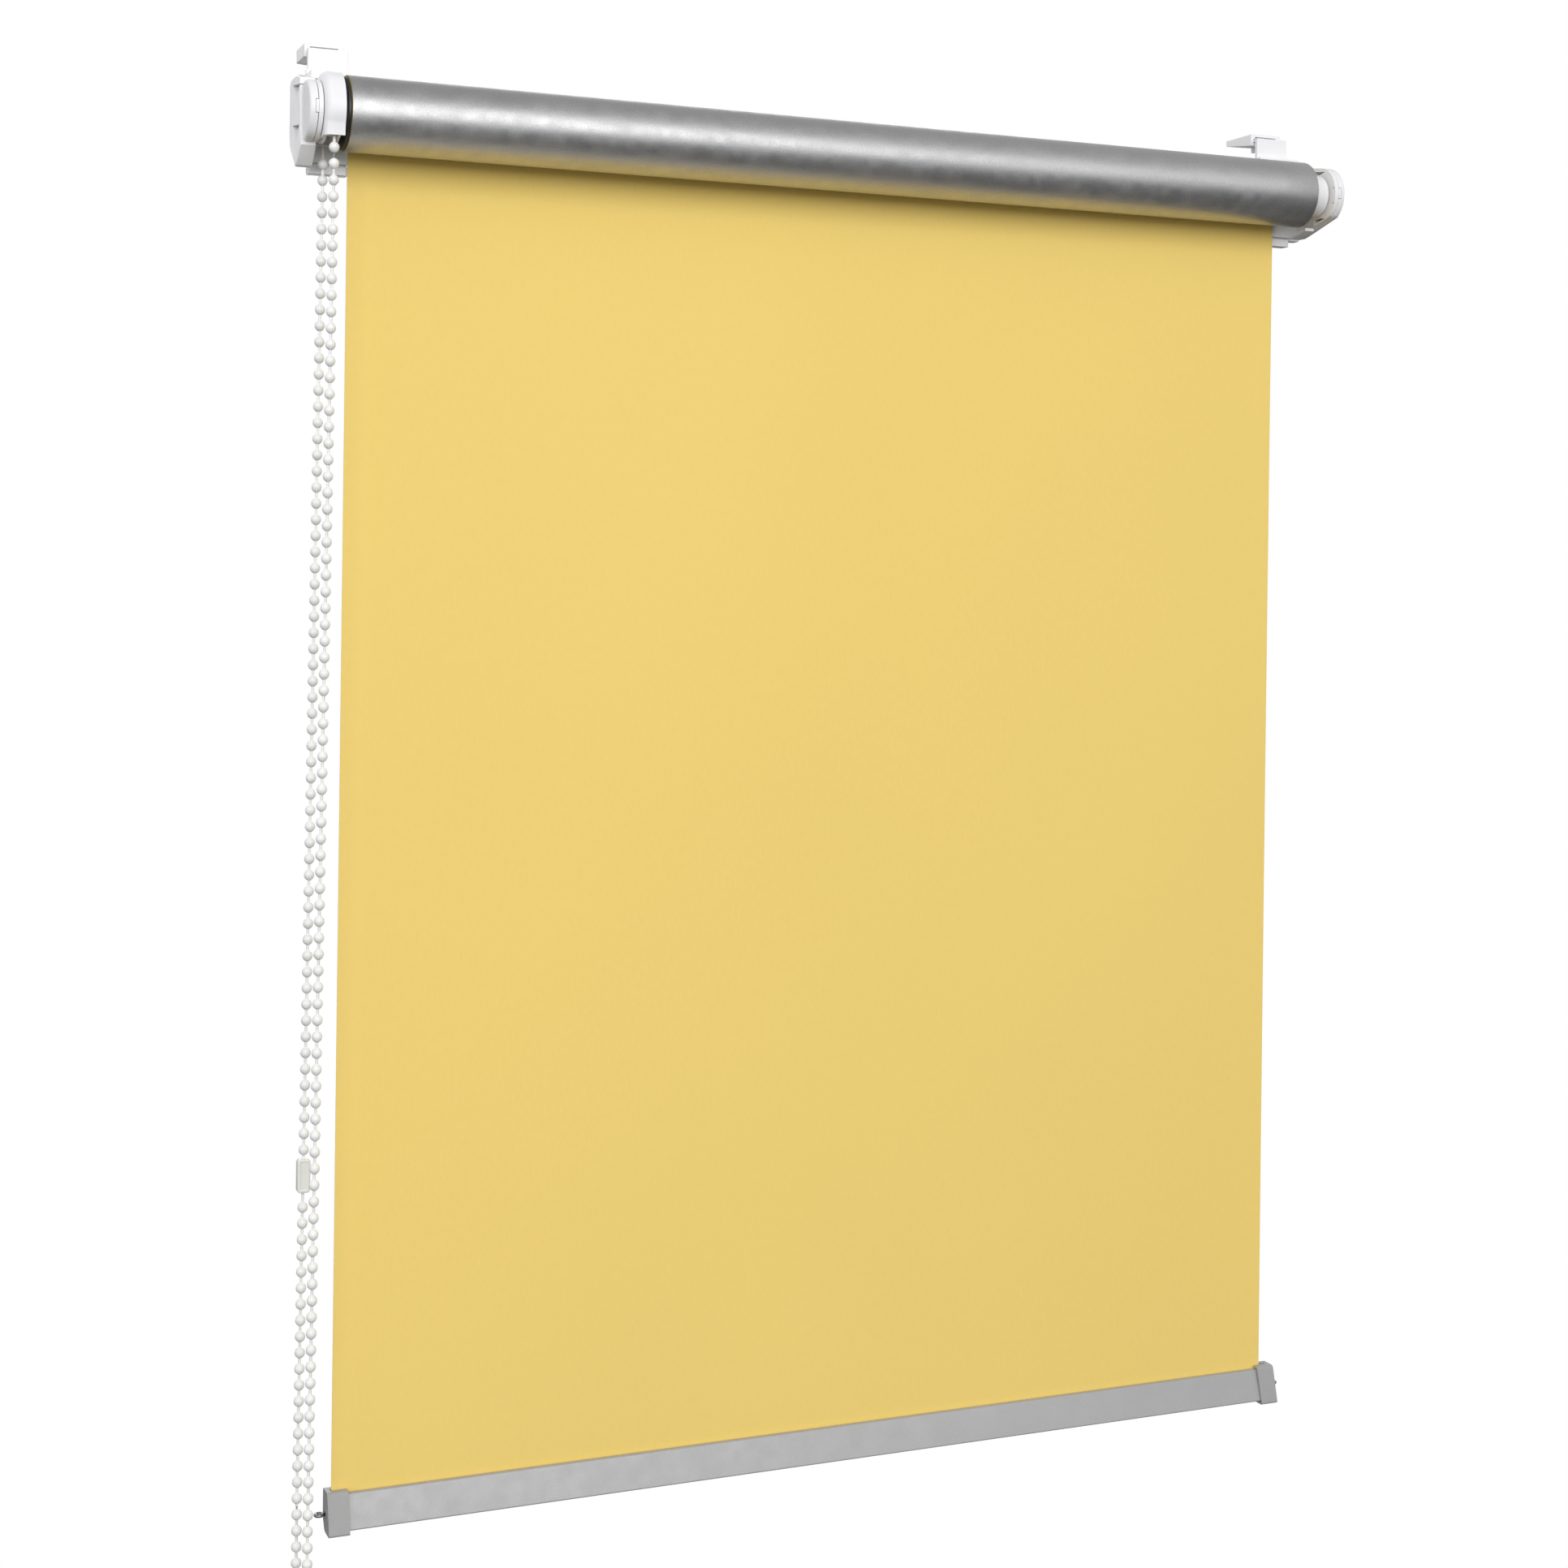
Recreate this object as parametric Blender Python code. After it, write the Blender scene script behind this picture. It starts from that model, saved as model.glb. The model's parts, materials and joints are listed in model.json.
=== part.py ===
"""Side-chain roller blind with clamp brackets, modelled in metres with +Z up.

The blind is laid out in its own axis frame, in millimetres: X runs along the roll from its
control end, Y points to the window, and Z is up, all counted from the tube's axis. One empty
carries that frame to the world, whose origin is midway along the roll on the line where the
two hooks sit on the sash.
"""
import math

import bmesh
import bpy
from mathutils import Matrix, Vector

MM = 0.001
GAP = 0.3                   # running gap between neighbouring pieces

# roll and cloth
ROLL_LENGTH = 420.0
ROLL_RADIUS = 14.0
TUBE_RADIUS = 9.5
TUBE_WALL = 0.6
CLOTH_INSET = 4.4           # hanging cloth is this much narrower at each end of the roll
CLOTH_THICKNESS = 0.5
RAIL_TOP_Z = -514.8

# chain drive
BEAD_PITCH = 6.0
BEAD_RADIUS = 1.95
POCKETS = 10
CHAIN_X = -5.8
CHAIN_LOOP_LENGTH = 1248.0
CHAIN_LEAN = 3.6            # how far the strands lean outwards near the rail
STRING_RADIUS = 0.7
RUN_TOP_Z = -9.5            # the hanging runs start below the turning beads
CONNECTOR_TOP_Z = -387.0
CONNECTOR_SIZE = (4.8, 3.6, 12.6)

# control end
GUARD_RADIUS = 14.9
GUARD_WALL = 1.1
GUARD_LEFT_X = -9.8
GUARD_WIDTH = 8.2
GUARD_SKIRT_Z = -10.4
SPINDLE_RADIUS = 4.3
SPINDLE_LENGTH = 28.7
PEG_SIDE = 4.4
SLEEVE_WALL = 0.9
SPRING_WIRE_RADIUS = 0.45
PLUG_FLANGE_RADIUS = 13.5
PLUG_LENGTH = 24.0
CAP_RADIUS = 11.3
CAP_DEPTH = 3.3
SIDE_BOX_WIDTH = 6.2

# brackets and clamps
WEB_THICKNESS = 2.1
WEB_FRONT_Y = 16.2
WEB_TOP_Z = 18.5
WEB_BOTTOM_Z = -16.2
BRACKET_RADIUS = 12.3
SIDE_WALL = 1.8
COVER_DEPTH = 2.9
CLAMP_WIDTH = 15.2
CLAMP_THICKNESS = 1.9
CLAMP_TOP_Z = 27.2
CLAMP_LEFT_X = -10.0
CLIP_BOTTOM_Z = -20.5
HOOK_DEPTH = 14.0           # along its outer side
HOOK_INNER_DEPTH = 20.0     # along the side that faces the middle of the blind
HOOK_INNER_END = 2.4        # the inner side tapers to this height
HOOK_REAR_WALL = 2.2
HOOK_FOOT = 4.6             # width of the outer side that rests on the sash
HOOK_OVERHANG = 0.7         # the hook stands out to the left of its plate
HOOK_WALL = 1.4
HOOK_TOP_Z = 29.5
HOOK_SEAT_Z = 24.3
HOOK_SETBACK = 2.0          # the hook starts this far behind the clamp plate
HOOK_SLOT_WIDTH = 10.8
HOOK_SLOT_TOP_Z = 28.4
TONGUE_LENGTH = 11.5
TONGUE_THICKNESS = 1.2

# idle end
IDLE_FLANGE_LENGTH = 9.0
IDLE_BARREL_LENGTH = 20.0
PIN_RADIUS = 2.4
PIN_REACH = 4.0             # how far the pin stands into its bracket
PIN_COLLAR_RADIUS = 5.0

# bottom bar
RAIL_HEIGHT = 12.8
RAIL_TOP_DEPTH = 4.9
RAIL_FOOT_DEPTH = 6.3
RAIL_LEAN = 4.1             # the front face leans this far forward towards its foot
RAIL_BACK_HEIGHT = 9.5
RAIL_SLOT = 1.8
CAP_LIP = 1.3
CAP_LENGTH = 8.0
CAP_END_WALL = 2.0
LEFT_CAP_X = 2.2
RIGHT_CAP_OVERHANG = 0.6    # the right cap stands this far past the roll's end
EYE_RADIUS = 1.4
EYE_WIRE_RADIUS = 0.65

# values that follow from the ones above
WHEEL_RADIUS = BEAD_PITCH / (2 * math.sin(math.pi / POCKETS))
CLOTH_Y = ROLL_RADIUS + GAP + CLOTH_THICKNESS / 2
WEB_BACK_Y = WEB_FRONT_Y + WEB_THICKNESS
CLAMP_FRONT_Y = WEB_BACK_Y + GAP
CLAMP_BACK_Y = CLAMP_FRONT_Y + CLAMP_THICKNESS
HOOK_FRONT_Y = CLAMP_BACK_Y + HOOK_SETBACK
SIDE_INNER_X = ROLL_LENGTH + IDLE_FLANGE_LENGTH + 2 * GAP
CLAMP_RIGHT_X = ROLL_LENGTH + CLAMP_LEFT_X
RIGHT_CAP_X = ROLL_LENGTH + RIGHT_CAP_OVERHANG
CHAIN_DROP = (CHAIN_LOOP_LENGTH - 2 * math.pi * WHEEL_RADIUS) / 2 + WHEEL_RADIUS
RAIL_FRONT_Y = CLOTH_Y - RAIL_TOP_DEPTH / 2
RAIL_BACK_Y = CLOTH_Y + RAIL_TOP_DEPTH / 2
FRAME_ORIGIN = (-ROLL_LENGTH / 2, -CLAMP_BACK_Y, -HOOK_SEAT_Z)

# colours are linear RGB
FINISHES = {
    "white_plastic": ((0.86, 0.86, 0.87), 0.32, 0.0),
    "natural_plastic": ((0.80, 0.80, 0.78), 0.40, 0.0),
    "black_plastic": ((0.02, 0.02, 0.02), 0.45, 0.0),
    "grey_plastic": ((0.42, 0.42, 0.42), 0.42, 0.0),
    "rail_metal": ((0.60, 0.60, 0.60), 0.38, 0.6),
    "tube_metal": ((0.70, 0.70, 0.72), 0.30, 1.0),
    "spring_steel": ((0.50, 0.50, 0.52), 0.28, 1.0),
    "silver_coating": ((0.40, 0.40, 0.41), 0.42, 0.5),
    "yellow_cloth": ((0.85, 0.62, 0.16), 0.85, 0.0),
}


def clear_scene():
    for obj in list(bpy.data.objects):
        bpy.data.objects.remove(obj, do_unlink=True)


def add_object(name, mesh, finish=None):
    """Link a mesh in the axis frame; with a finish it is a piece, without one a cutter."""
    obj = bpy.data.objects.new(name, mesh)
    bpy.context.scene.collection.objects.link(obj)
    obj.parent = bpy.data.objects["axis_frame"]
    if finish is None:
        obj.hide_render = True
        obj.display_type = "WIRE"
        return obj
    colour, roughness, metallic = FINISHES[finish]
    material = bpy.data.materials.new(name + "_" + finish)
    material.use_nodes = True
    shader = material.node_tree.nodes["Principled BSDF"]
    shader.inputs["Base Color"].default_value = (*colour, 1.0)
    shader.inputs["Roughness"].default_value = roughness
    shader.inputs["Metallic"].default_value = metallic
    obj.data.materials.append(material)
    return obj


def finish_mesh(name, bm, smooth=False):
    bmesh.ops.recalc_face_normals(bm, faces=bm.faces)
    bmesh.ops.scale(bm, vec=(MM, MM, MM), verts=bm.verts)
    mesh = bpy.data.meshes.new(name)
    bm.to_mesh(mesh)
    bm.free()
    if smooth:
        mesh.shade_smooth()
        mesh.set_sharp_from_angle(angle=math.radians(35))
    return mesh


def prism(name, outline, x0, x1, finish=None, round_edge=0.0, round_length=0.0):
    """A Y-Z outline pushed along X, with its rims or its long edges rounded if asked."""
    bm = bmesh.new()
    face = bm.faces.new([bm.verts.new((x0, y, z)) for y, z in outline])
    pushed = bmesh.ops.extrude_face_region(bm, geom=[face])
    moved = [v for v in pushed["geom"] if isinstance(v, bmesh.types.BMVert)]
    bmesh.ops.translate(bm, verts=moved, vec=(x1 - x0, 0, 0))
    rims = [e for e in bm.edges if abs(e.verts[0].co.x - e.verts[1].co.x) < 1e-6]
    long_edges = [e for e in bm.edges if e not in rims]
    for edges, radius in ((rims, round_edge), (long_edges, round_length)):
        if radius:
            bmesh.ops.bevel(bm, geom=edges, offset=radius, segments=3,
                            affect="EDGES", profile=0.5, material=-1)
    return add_object(name, finish_mesh(name, bm), finish)


def block(name, low, high, finish=None, round_edge=0.0):
    bm = bmesh.new()
    size = Vector(high) - Vector(low)
    middle = (Vector(high) + Vector(low)) / 2
    place = Matrix.Translation(middle) @ Matrix.Diagonal((*size, 1.0))
    bmesh.ops.create_cube(bm, size=1.0, matrix=place)
    if round_edge:
        bmesh.ops.bevel(bm, geom=list(bm.edges), offset=round_edge, segments=2,
                        affect="EDGES", profile=0.5, material=-1)
    return add_object(name, finish_mesh(name, bm), finish)


def turned(name, profile, finish=None, steps=48):
    """A closed (x, radius) profile spun about the tube's axis."""
    bm = bmesh.new()
    ring = [bm.verts.new((x, 0, r)) for x, r in profile]
    pairs = zip(ring, ring[1:] + ring[:1])
    edges = [bm.edges.new(pair) for pair in pairs if pair[0].co.z > 0 or pair[1].co.z > 0]
    bmesh.ops.spin(bm, geom=ring + edges, cent=(0, 0, 0), axis=(1, 0, 0),
                   angle=2 * math.pi, steps=steps, use_merge=True)
    bmesh.ops.remove_doubles(bm, verts=bm.verts, dist=1e-4)
    return add_object(name, finish_mesh(name, bm, smooth=True), finish)


def ring_profile(x0, x1, inner, outer):
    return [(x0, inner), (x1, inner), (x1, outer), (x0, outer)]


def rod_profile(x0, x1, radius):
    return [(x0, 0), (x0, radius), (x1, radius), (x1, 0)]


def arc_points(radius, start, end, count, centre=(0.0, 0.0)):
    """Points in Y-Z from start to end, in degrees counted from +Y towards +Z."""
    points = []
    for i in range(count):
        angle = math.radians(start + (end - start) * i / (count - 1))
        points.append((centre[0] + radius * math.cos(angle), centre[1] + radius * math.sin(angle)))
    return points


def combine(obj, operation, *others):
    for other in others:
        modifier = obj.modifiers.new(operation.lower() + "_" + other.name, "BOOLEAN")
        modifier.operation = operation
        modifier.solver = "EXACT"
        modifier.object = other
        other.hide_render = True
        other.display_type = "WIRE"
    return obj


def swept(name, points, radius, finish, radii=None, sides=2):
    """A round rod along points, as a curve with filled caps."""
    curve = bpy.data.curves.new(name, "CURVE")
    curve.dimensions = "3D"
    curve.bevel_depth = radius * MM
    curve.bevel_resolution = sides
    curve.use_fill_caps = True
    spline = curve.splines.new("POLY")
    spline.points.add(len(points) - 1)
    for i, point in enumerate(points):
        spline.points[i].co = (point[0] * MM, point[1] * MM, point[2] * MM, 1.0)
        spline.points[i].radius = radii[i] if radii else 1.0
    return add_object(name, curve, finish)


def coil(name, x0, x1, radius, wire, turns, finish):
    steps = int(turns * 14)
    points = []
    for i in range(steps + 1):
        angle = 2 * math.pi * turns * i / steps
        points.append((x0 + (x1 - x0) * i / steps, radius * math.cos(angle), radius * math.sin(angle)))
    return swept(name, points, wire, finish, sides=1)


# --- roll -------------------------------------------------------------------

def build_roll():
    turned("roller_tube", ring_profile(GAP, ROLL_LENGTH - GAP, TUBE_RADIUS - TUBE_WALL, TUBE_RADIUS),
           "tube_metal")
    turned("fabric_roll", ring_profile(0, ROLL_LENGTH, TUBE_RADIUS + GAP, ROLL_RADIUS),
           "silver_coating", steps=64)
    block("hanging_fabric",
          (CLOTH_INSET, CLOTH_Y - CLOTH_THICKNESS / 2, RAIL_TOP_Z - 3.0),
          (ROLL_LENGTH - CLOTH_INSET, CLOTH_Y + CLOTH_THICKNESS / 2, 0.0), "yellow_cloth")


# --- control end ------------------------------------------------------------

def build_wheel():
    """Ten-pocket bead wheel with two flanges and the sleeve that holds the wrap spring."""
    pocket = BEAD_RADIUS + 0.15
    bore = SPINDLE_RADIUS + 0.4
    land = WHEEL_RADIUS - STRING_RADIUS - GAP
    cosine = (WHEEL_RADIUS ** 2 + land ** 2 - pocket ** 2) / (2 * WHEEL_RADIUS * land)
    half_pocket = math.degrees(math.acos(cosine))
    half_arc = math.degrees(math.asin(land * math.sin(math.radians(half_pocket)) / pocket))
    outline = []
    for k in range(POCKETS):
        middle = 360.0 / POCKETS * k
        centre = (WHEEL_RADIUS * math.cos(math.radians(middle)),
                  WHEEL_RADIUS * math.sin(math.radians(middle)))
        outline += arc_points(pocket, middle + 180 + half_arc, middle + 180 - half_arc, 6, centre)
        edge = middle + 360.0 / POCKETS - half_pocket
        outline += arc_points(land, middle + half_pocket + 2.0, edge - 2.0, 3)
    half = pocket + 0.02
    wheel = prism("chain_wheel", outline, CHAIN_X - half, CHAIN_X + half, "white_plastic")
    for side in (-1, 1):
        low, high = sorted((CHAIN_X + side * (half - 0.1), CHAIN_X + side * (half + 0.8)))
        combine(wheel, "UNION", turned("wheel_flange" + str(side + 1), rod_profile(low, high, 11.8)))
    sleeve_inner = SPINDLE_RADIUS + 2 * SPRING_WIRE_RADIUS + 0.7
    start = CHAIN_X + half + 0.4
    combine(wheel, "UNION", turned("wheel_sleeve", ring_profile(start, 10.0, sleeve_inner,
                                                                sleeve_inner + SLEEVE_WALL)))
    combine(wheel, "DIFFERENCE", turned("wheel_bore", rod_profile(-20.0, 20.0, bore)))

    points, radii = [], []
    wire = STRING_RADIUS / BEAD_RADIUS
    beads = POCKETS // 2 + 1
    for k in range(beads):
        for offset, thick in ((-1.9, wire), (-1.75, 0.45), (-1.2, 0.8), (0.0, 1.0),
                              (1.2, 0.8), (1.75, 0.45), (1.9, wire)):
            angle = math.radians(360.0 / POCKETS * k) + offset / WHEEL_RADIUS
            points.append((CHAIN_X, WHEEL_RADIUS * math.cos(angle), WHEEL_RADIUS * math.sin(angle)))
            radii.append(thick)
    swept("chain_on_wheel", points, BEAD_RADIUS, "white_plastic", radii)
    return sleeve_inner


def build_guard():
    """Drum cover over the wheel, open below where the two strands leave."""
    right_x = GUARD_LEFT_X + GUARD_WIDTH
    outer = arc_points(GUARD_RADIUS, -25, 205, 34)
    outer += [(-13.1, GUARD_SKIRT_Z), (13.1, GUARD_SKIRT_Z)]
    inner_radius = GUARD_RADIUS - GUARD_WALL
    inner = arc_points(inner_radius, -28, 208, 30) + [(-12.1, -20.0), (12.1, -20.0)]
    guard = prism("chain_guard", outer, GUARD_LEFT_X, right_x, "white_plastic", round_edge=1.2)
    cavity = prism("guard_cavity", inner, GUARD_LEFT_X + 0.8, right_x + 5.0)
    hub = turned("guard_hub_hole", rod_profile(-20.0, 0.0, SPINDLE_RADIUS + 0.8), steps=32)
    combine(guard, "DIFFERENCE", cavity, hub)


def build_clutch(sleeve_inner):
    left_x = GUARD_LEFT_X + 1.1
    spindle = turned("clutch_spindle", rod_profile(left_x, left_x + SPINDLE_LENGTH, SPINDLE_RADIUS),
                     "natural_plastic", steps=32)
    socket = PEG_SIDE / 2 + GAP
    combine(spindle, "DIFFERENCE",
            block("spindle_socket", (left_x - 1, -socket, -socket), (-0.4, socket, socket)),
            turned("spindle_bore", rod_profile(6.0, left_x + SPINDLE_LENGTH + 1, 1.5), steps=20))
    head = left_x + SPINDLE_LENGTH + GAP
    turned("spindle_screw", [(8.0, 0), (8.0, 1.2), (head, 1.2), (head, 3.0), (head + 1.4, 2.6),
                             (head + 1.8, 0)], "spring_steel", steps=24)
    coil("wrap_spring", 0.2, 8.2, (SPINDLE_RADIUS + sleeve_inner) / 2, SPRING_WIRE_RADIUS, 6,
         "spring_steel")
    bore = sleeve_inner + SLEEVE_WALL + 0.4
    barrel = TUBE_RADIUS - TUBE_WALL - GAP
    turned("drive_plug", [(-1.3, bore), (PLUG_LENGTH, bore), (PLUG_LENGTH, barrel - 0.3),
                          (PLUG_LENGTH - 0.6, barrel), (-GAP, barrel), (-GAP, PLUG_FLANGE_RADIUS),
                          (-1.3, PLUG_FLANGE_RADIUS)], "black_plastic")


def side_box_outline():
    return [(2.5, 12.6), (8.1, 14.4), (18.5, 14.2), (20.5, 12.0), (20.5, -8.0), (19.0, -11.4),
            (9.5, -19.4), (7.0, -19.0), (0.5, -12.5)]


def build_left_bracket():
    inner_x = GUARD_LEFT_X - GAP
    box_right = inner_x
    bracket = prism("left_bracket", side_box_outline(), box_right - SIDE_BOX_WIDTH, box_right,
                    "white_plastic", round_edge=0.7)
    disc = turned("left_disc", rod_profile(inner_x - 1.6, inner_x, CAP_RADIUS))
    web = block("left_web", (inner_x - 1.0, WEB_FRONT_Y, WEB_BOTTOM_Z),
                (CLAMP_LEFT_X + CLAMP_WIDTH, WEB_BACK_Y, WEB_TOP_Z), round_edge=0.25)
    shoulder = block("left_shoulder", (inner_x - 0.9, 7.0, 11.0), (-5.2, WEB_FRONT_Y + 1.0, 16.6))
    arc = turned("left_shoulder_room", rod_profile(inner_x + 0.05, 5.0, GUARD_RADIUS + GAP))
    combine(shoulder, "DIFFERENCE", arc)
    half = PEG_SIDE / 2
    peg = block("left_peg", (inner_x - 1.0, -half, -half), (-1.0, half, half))
    combine(bracket, "UNION", disc, web, shoulder, peg)
    recess_x = box_right - SIDE_BOX_WIDTH
    for mark, low in (("upper", 4.8), ("lower", -10.2)):
        outline = [(2.0, low + 5.2), (14.0, low + 6.6), (7.0, low)]
        combine(bracket, "DIFFERENCE", prism("notch_" + mark, outline, recess_x - 1, recess_x + 2.6))

    cap_x = inner_x - 1.6 - GAP
    face_x = cap_x - CAP_DEPTH + 0.2
    cap = turned("left_bracket_cap", [(cap_x, CAP_RADIUS - 1.2), (cap_x, CAP_RADIUS),
                                      (face_x + 1.1, CAP_RADIUS), (face_x + 0.3, CAP_RADIUS - 0.5),
                                      (face_x, CAP_RADIUS - 1.3), (face_x, 0),
                                      (cap_x - 1.1, 0), (cap_x - 1.1, CAP_RADIUS - 1.2)],
                 "white_plastic")
    trim = prism("cap_trim", [(-0.2, 30.0), (30.0, 30.0), (30.0, -30.0), (-2.0, -30.0),
                              (-2.0, -12.0), (0.0, -12.0)], cap_x - 10, cap_x + 1)
    window = block("cap_window", (cap_x - 1.0, -14.0, -2.6), (cap_x + 1, -8.0, 2.6))
    combine(cap, "DIFFERENCE", trim, window)


# --- idle end ---------------------------------------------------------------

def right_outline(radius):
    front = arc_points(radius, 96, 234, 22)
    return [(20.5, 15.0), (13.4, 14.6)] + front + [(9.8, -14.6), (16.2, -16.2), (20.5, -16.2)]


def build_right_bracket():
    bracket = prism("right_bracket", right_outline(BRACKET_RADIUS), SIDE_INNER_X,
                    SIDE_INNER_X + SIDE_WALL, "white_plastic")
    web = block("right_web", (CLAMP_RIGHT_X, WEB_FRONT_Y, WEB_BOTTOM_Z),
                (SIDE_INNER_X + 0.5, WEB_BACK_Y, WEB_TOP_Z))
    gusset_outline = [(17.0, -16.1), (4.0, -13.4), (4.0, -14.6), (14.0, -16.8), (17.0, -16.6)]
    gusset = prism("right_gusset", gusset_outline, SIDE_INNER_X - 4.0, SIDE_INNER_X + 0.5)
    heel = block("right_heel", (CLAMP_RIGHT_X + CLAMP_WIDTH + GAP, WEB_FRONT_Y - 0.4, WEB_BOTTOM_Z - 1.6),
                 (SIDE_INNER_X + 1.0, WEB_BACK_Y + 2.2, WEB_BOTTOM_Z + 1.0), round_edge=0.4)
    combine(bracket, "UNION", web, gusset, heel)
    through = (SIDE_INNER_X - 2, SIDE_INNER_X + SIDE_WALL + 1)
    cutters = [turned("pin_hole", rod_profile(*through, PIN_RADIUS + 0.4), steps=32)]
    for mark, (y, z) in (("a", (-10.9, 2.4)), ("b", (-10.5, -4.2))):
        cutters.append(prism("small_hole_" + mark, arc_points(0.55, 0, 324, 10, (y, z)), *through))
    for mark, sign in (("upper", 1), ("lower", -1)):
        outline = [(3.4, 11.3 * sign), (-4.6, 10.2 * sign), (-0.4, 9.5 * sign), (3.4, 9.9 * sign)]
        cutters.append(prism("side_slot_" + mark, outline, *through))
    combine(bracket, "DIFFERENCE", *cutters)

    cover_x = SIDE_INNER_X + SIDE_WALL + GAP
    cover = prism("right_bracket_cap", right_outline(BRACKET_RADIUS), cover_x, cover_x + COVER_DEPTH,
                  "white_plastic", round_edge=0.6)
    hollow = turned("cover_hollow", rod_profile(cover_x - 1, cover_x + COVER_DEPTH - 1.1,
                                                BRACKET_RADIUS - 1.4))
    window = block("cover_window", (cover_x - 1, -14.0, -2.4), (cover_x + 1.2, -9.0, 2.4))
    combine(cover, "DIFFERENCE", hollow, window)


def build_idle_end():
    barrel = TUBE_RADIUS - TUBE_WALL - GAP
    flange = TUBE_RADIUS - TUBE_WALL
    face = ROLL_LENGTH + IDLE_FLANGE_LENGTH
    start = ROLL_LENGTH - IDLE_BARREL_LENGTH
    room = PIN_COLLAR_RADIUS + 0.5
    guide = PIN_RADIUS + 0.35
    turned("idle_plug", [(start, guide), (start + 3.0, guide), (start + 3.0, room), (face - 2.4, room),
                         (face - 2.4, guide), (face, guide), (face, flange - 0.5), (face - 0.5, flange),
                         (ROLL_LENGTH, flange), (ROLL_LENGTH - GAP, barrel), (start, barrel)],
           "white_plastic")
    collar = start + 15.0
    tip = face + PIN_REACH
    turned("idle_pin", [(start + 5.0, 0), (start + 5.0, PIN_RADIUS), (collar, PIN_RADIUS),
                        (collar, PIN_COLLAR_RADIUS), (collar + 1.6, PIN_COLLAR_RADIUS),
                        (collar + 1.6, PIN_RADIUS), (tip - 0.8, PIN_RADIUS), (tip, PIN_RADIUS - 0.8),
                        (tip, 0)], "white_plastic", steps=32)
    coil("idle_spring", start + 3.7, collar - 0.7, PIN_RADIUS + 1.3, 0.4, 6, "spring_steel")


# --- clamps -----------------------------------------------------------------

def build_clamp(side, left_x):
    """Clamp plate with its base clip and tongue, and the hook that slides on the tongue."""
    right_x = left_x + CLAMP_WIDTH
    tongue_low = CLAMP_TOP_Z - TONGUE_THICKNESS
    hook_left, hook_right = left_x - HOOK_OVERHANG, right_x - HOOK_OVERHANG
    inner = HOOK_WALL + GAP
    plate = block(side + "_clamp_plate", (left_x, CLAMP_FRONT_Y, WEB_BOTTOM_Z - 3.8),
                  (right_x, CLAMP_BACK_Y, CLAMP_TOP_Z), "white_plastic", round_edge=0.3)
    tongue = block(side + "_tongue", (hook_left + inner, CLAMP_BACK_Y - 0.8, tongue_low),
                   (hook_right - inner, CLAMP_BACK_Y + TONGUE_LENGTH, CLAMP_TOP_Z))
    clip = block(side + "_base_clip", (left_x + 0.2, WEB_FRONT_Y - 0.6, CLIP_BOTTOM_Z),
                 (right_x - 0.2, CLAMP_BACK_Y, WEB_BOTTOM_Z - 1.0), round_edge=0.3)
    combine(plate, "UNION", tongue, clip)

    outer_sign = -1 if side == "left" else 1
    hook_back = HOOK_FRONT_Y + HOOK_DEPTH
    inner_back = HOOK_FRONT_Y + HOOK_INNER_DEPTH
    hook = block(side + "_clamp_hook", (hook_left, HOOK_FRONT_Y, HOOK_SEAT_Z),
                 (hook_right, inner_back, HOOK_TOP_Z), "white_plastic", round_edge=0.4)
    channel = block(side + "_channel", (hook_left + HOOK_WALL, HOOK_FRONT_Y - 1, tongue_low - GAP),
                    (hook_right - HOOK_WALL, hook_back - HOOK_REAR_WALL, CLAMP_TOP_Z + GAP))
    mouth = block(side + "_channel_mouth", (hook_left + HOOK_FOOT, HOOK_FRONT_Y - 1, HOOK_SEAT_Z - 1),
                  (hook_right - HOOK_FOOT, hook_back - HOOK_REAR_WALL, tongue_low))
    middle = (hook_left + hook_right) / 2
    slot = block(side + "_slot", (middle - HOOK_SLOT_WIDTH / 2, HOOK_FRONT_Y - 1, CLAMP_TOP_Z),
                 (middle + HOOK_SLOT_WIDTH / 2, HOOK_FRONT_Y + 6, HOOK_SLOT_TOP_Z))
    slant = math.atan2(HOOK_INNER_DEPTH - HOOK_DEPTH, CLAMP_WIDTH)
    rear = block(side + "_rear_cut", (-2 * CLAMP_WIDTH, 0, HOOK_SEAT_Z - 1),
                 (2 * CLAMP_WIDTH, HOOK_INNER_DEPTH, HOOK_TOP_Z + 1))
    rear.data.transform(Matrix.Translation(Vector((middle, (hook_back + inner_back) / 2, 0)) * MM)
                        @ Matrix.Rotation(-outer_sign * slant, 4, "Z"))
    wedge = [(HOOK_FRONT_Y, HOOK_SEAT_Z), (inner_back + 1, HOOK_TOP_Z - HOOK_INNER_END),
             (inner_back + 1, HOOK_SEAT_Z - 1), (HOOK_FRONT_Y, HOOK_SEAT_Z - 1)]
    if side == "left":
        wedge_x = (hook_left + HOOK_FOOT, hook_right + 1)
    else:
        wedge_x = (hook_left - 1, hook_right - HOOK_FOOT)
    taper = prism(side + "_taper", wedge, *wedge_x)
    combine(hook, "DIFFERENCE", channel, mouth, slot, rear, taper)


# --- bottom bar -------------------------------------------------------------

def rail_outline(grow):
    """The bar's section: upright back, rounded heel, front face leaning out to its foot."""
    front_foot = RAIL_FRONT_Y - RAIL_LEAN
    return [(RAIL_FRONT_Y - grow, RAIL_TOP_Z + grow), (RAIL_BACK_Y + grow, RAIL_TOP_Z + grow),
            (RAIL_BACK_Y + grow, RAIL_TOP_Z - RAIL_BACK_HEIGHT),
            (front_foot + RAIL_FOOT_DEPTH + grow * 0.7, RAIL_TOP_Z - RAIL_HEIGHT - grow),
            (front_foot - grow, RAIL_TOP_Z - RAIL_HEIGHT - grow)]


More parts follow.
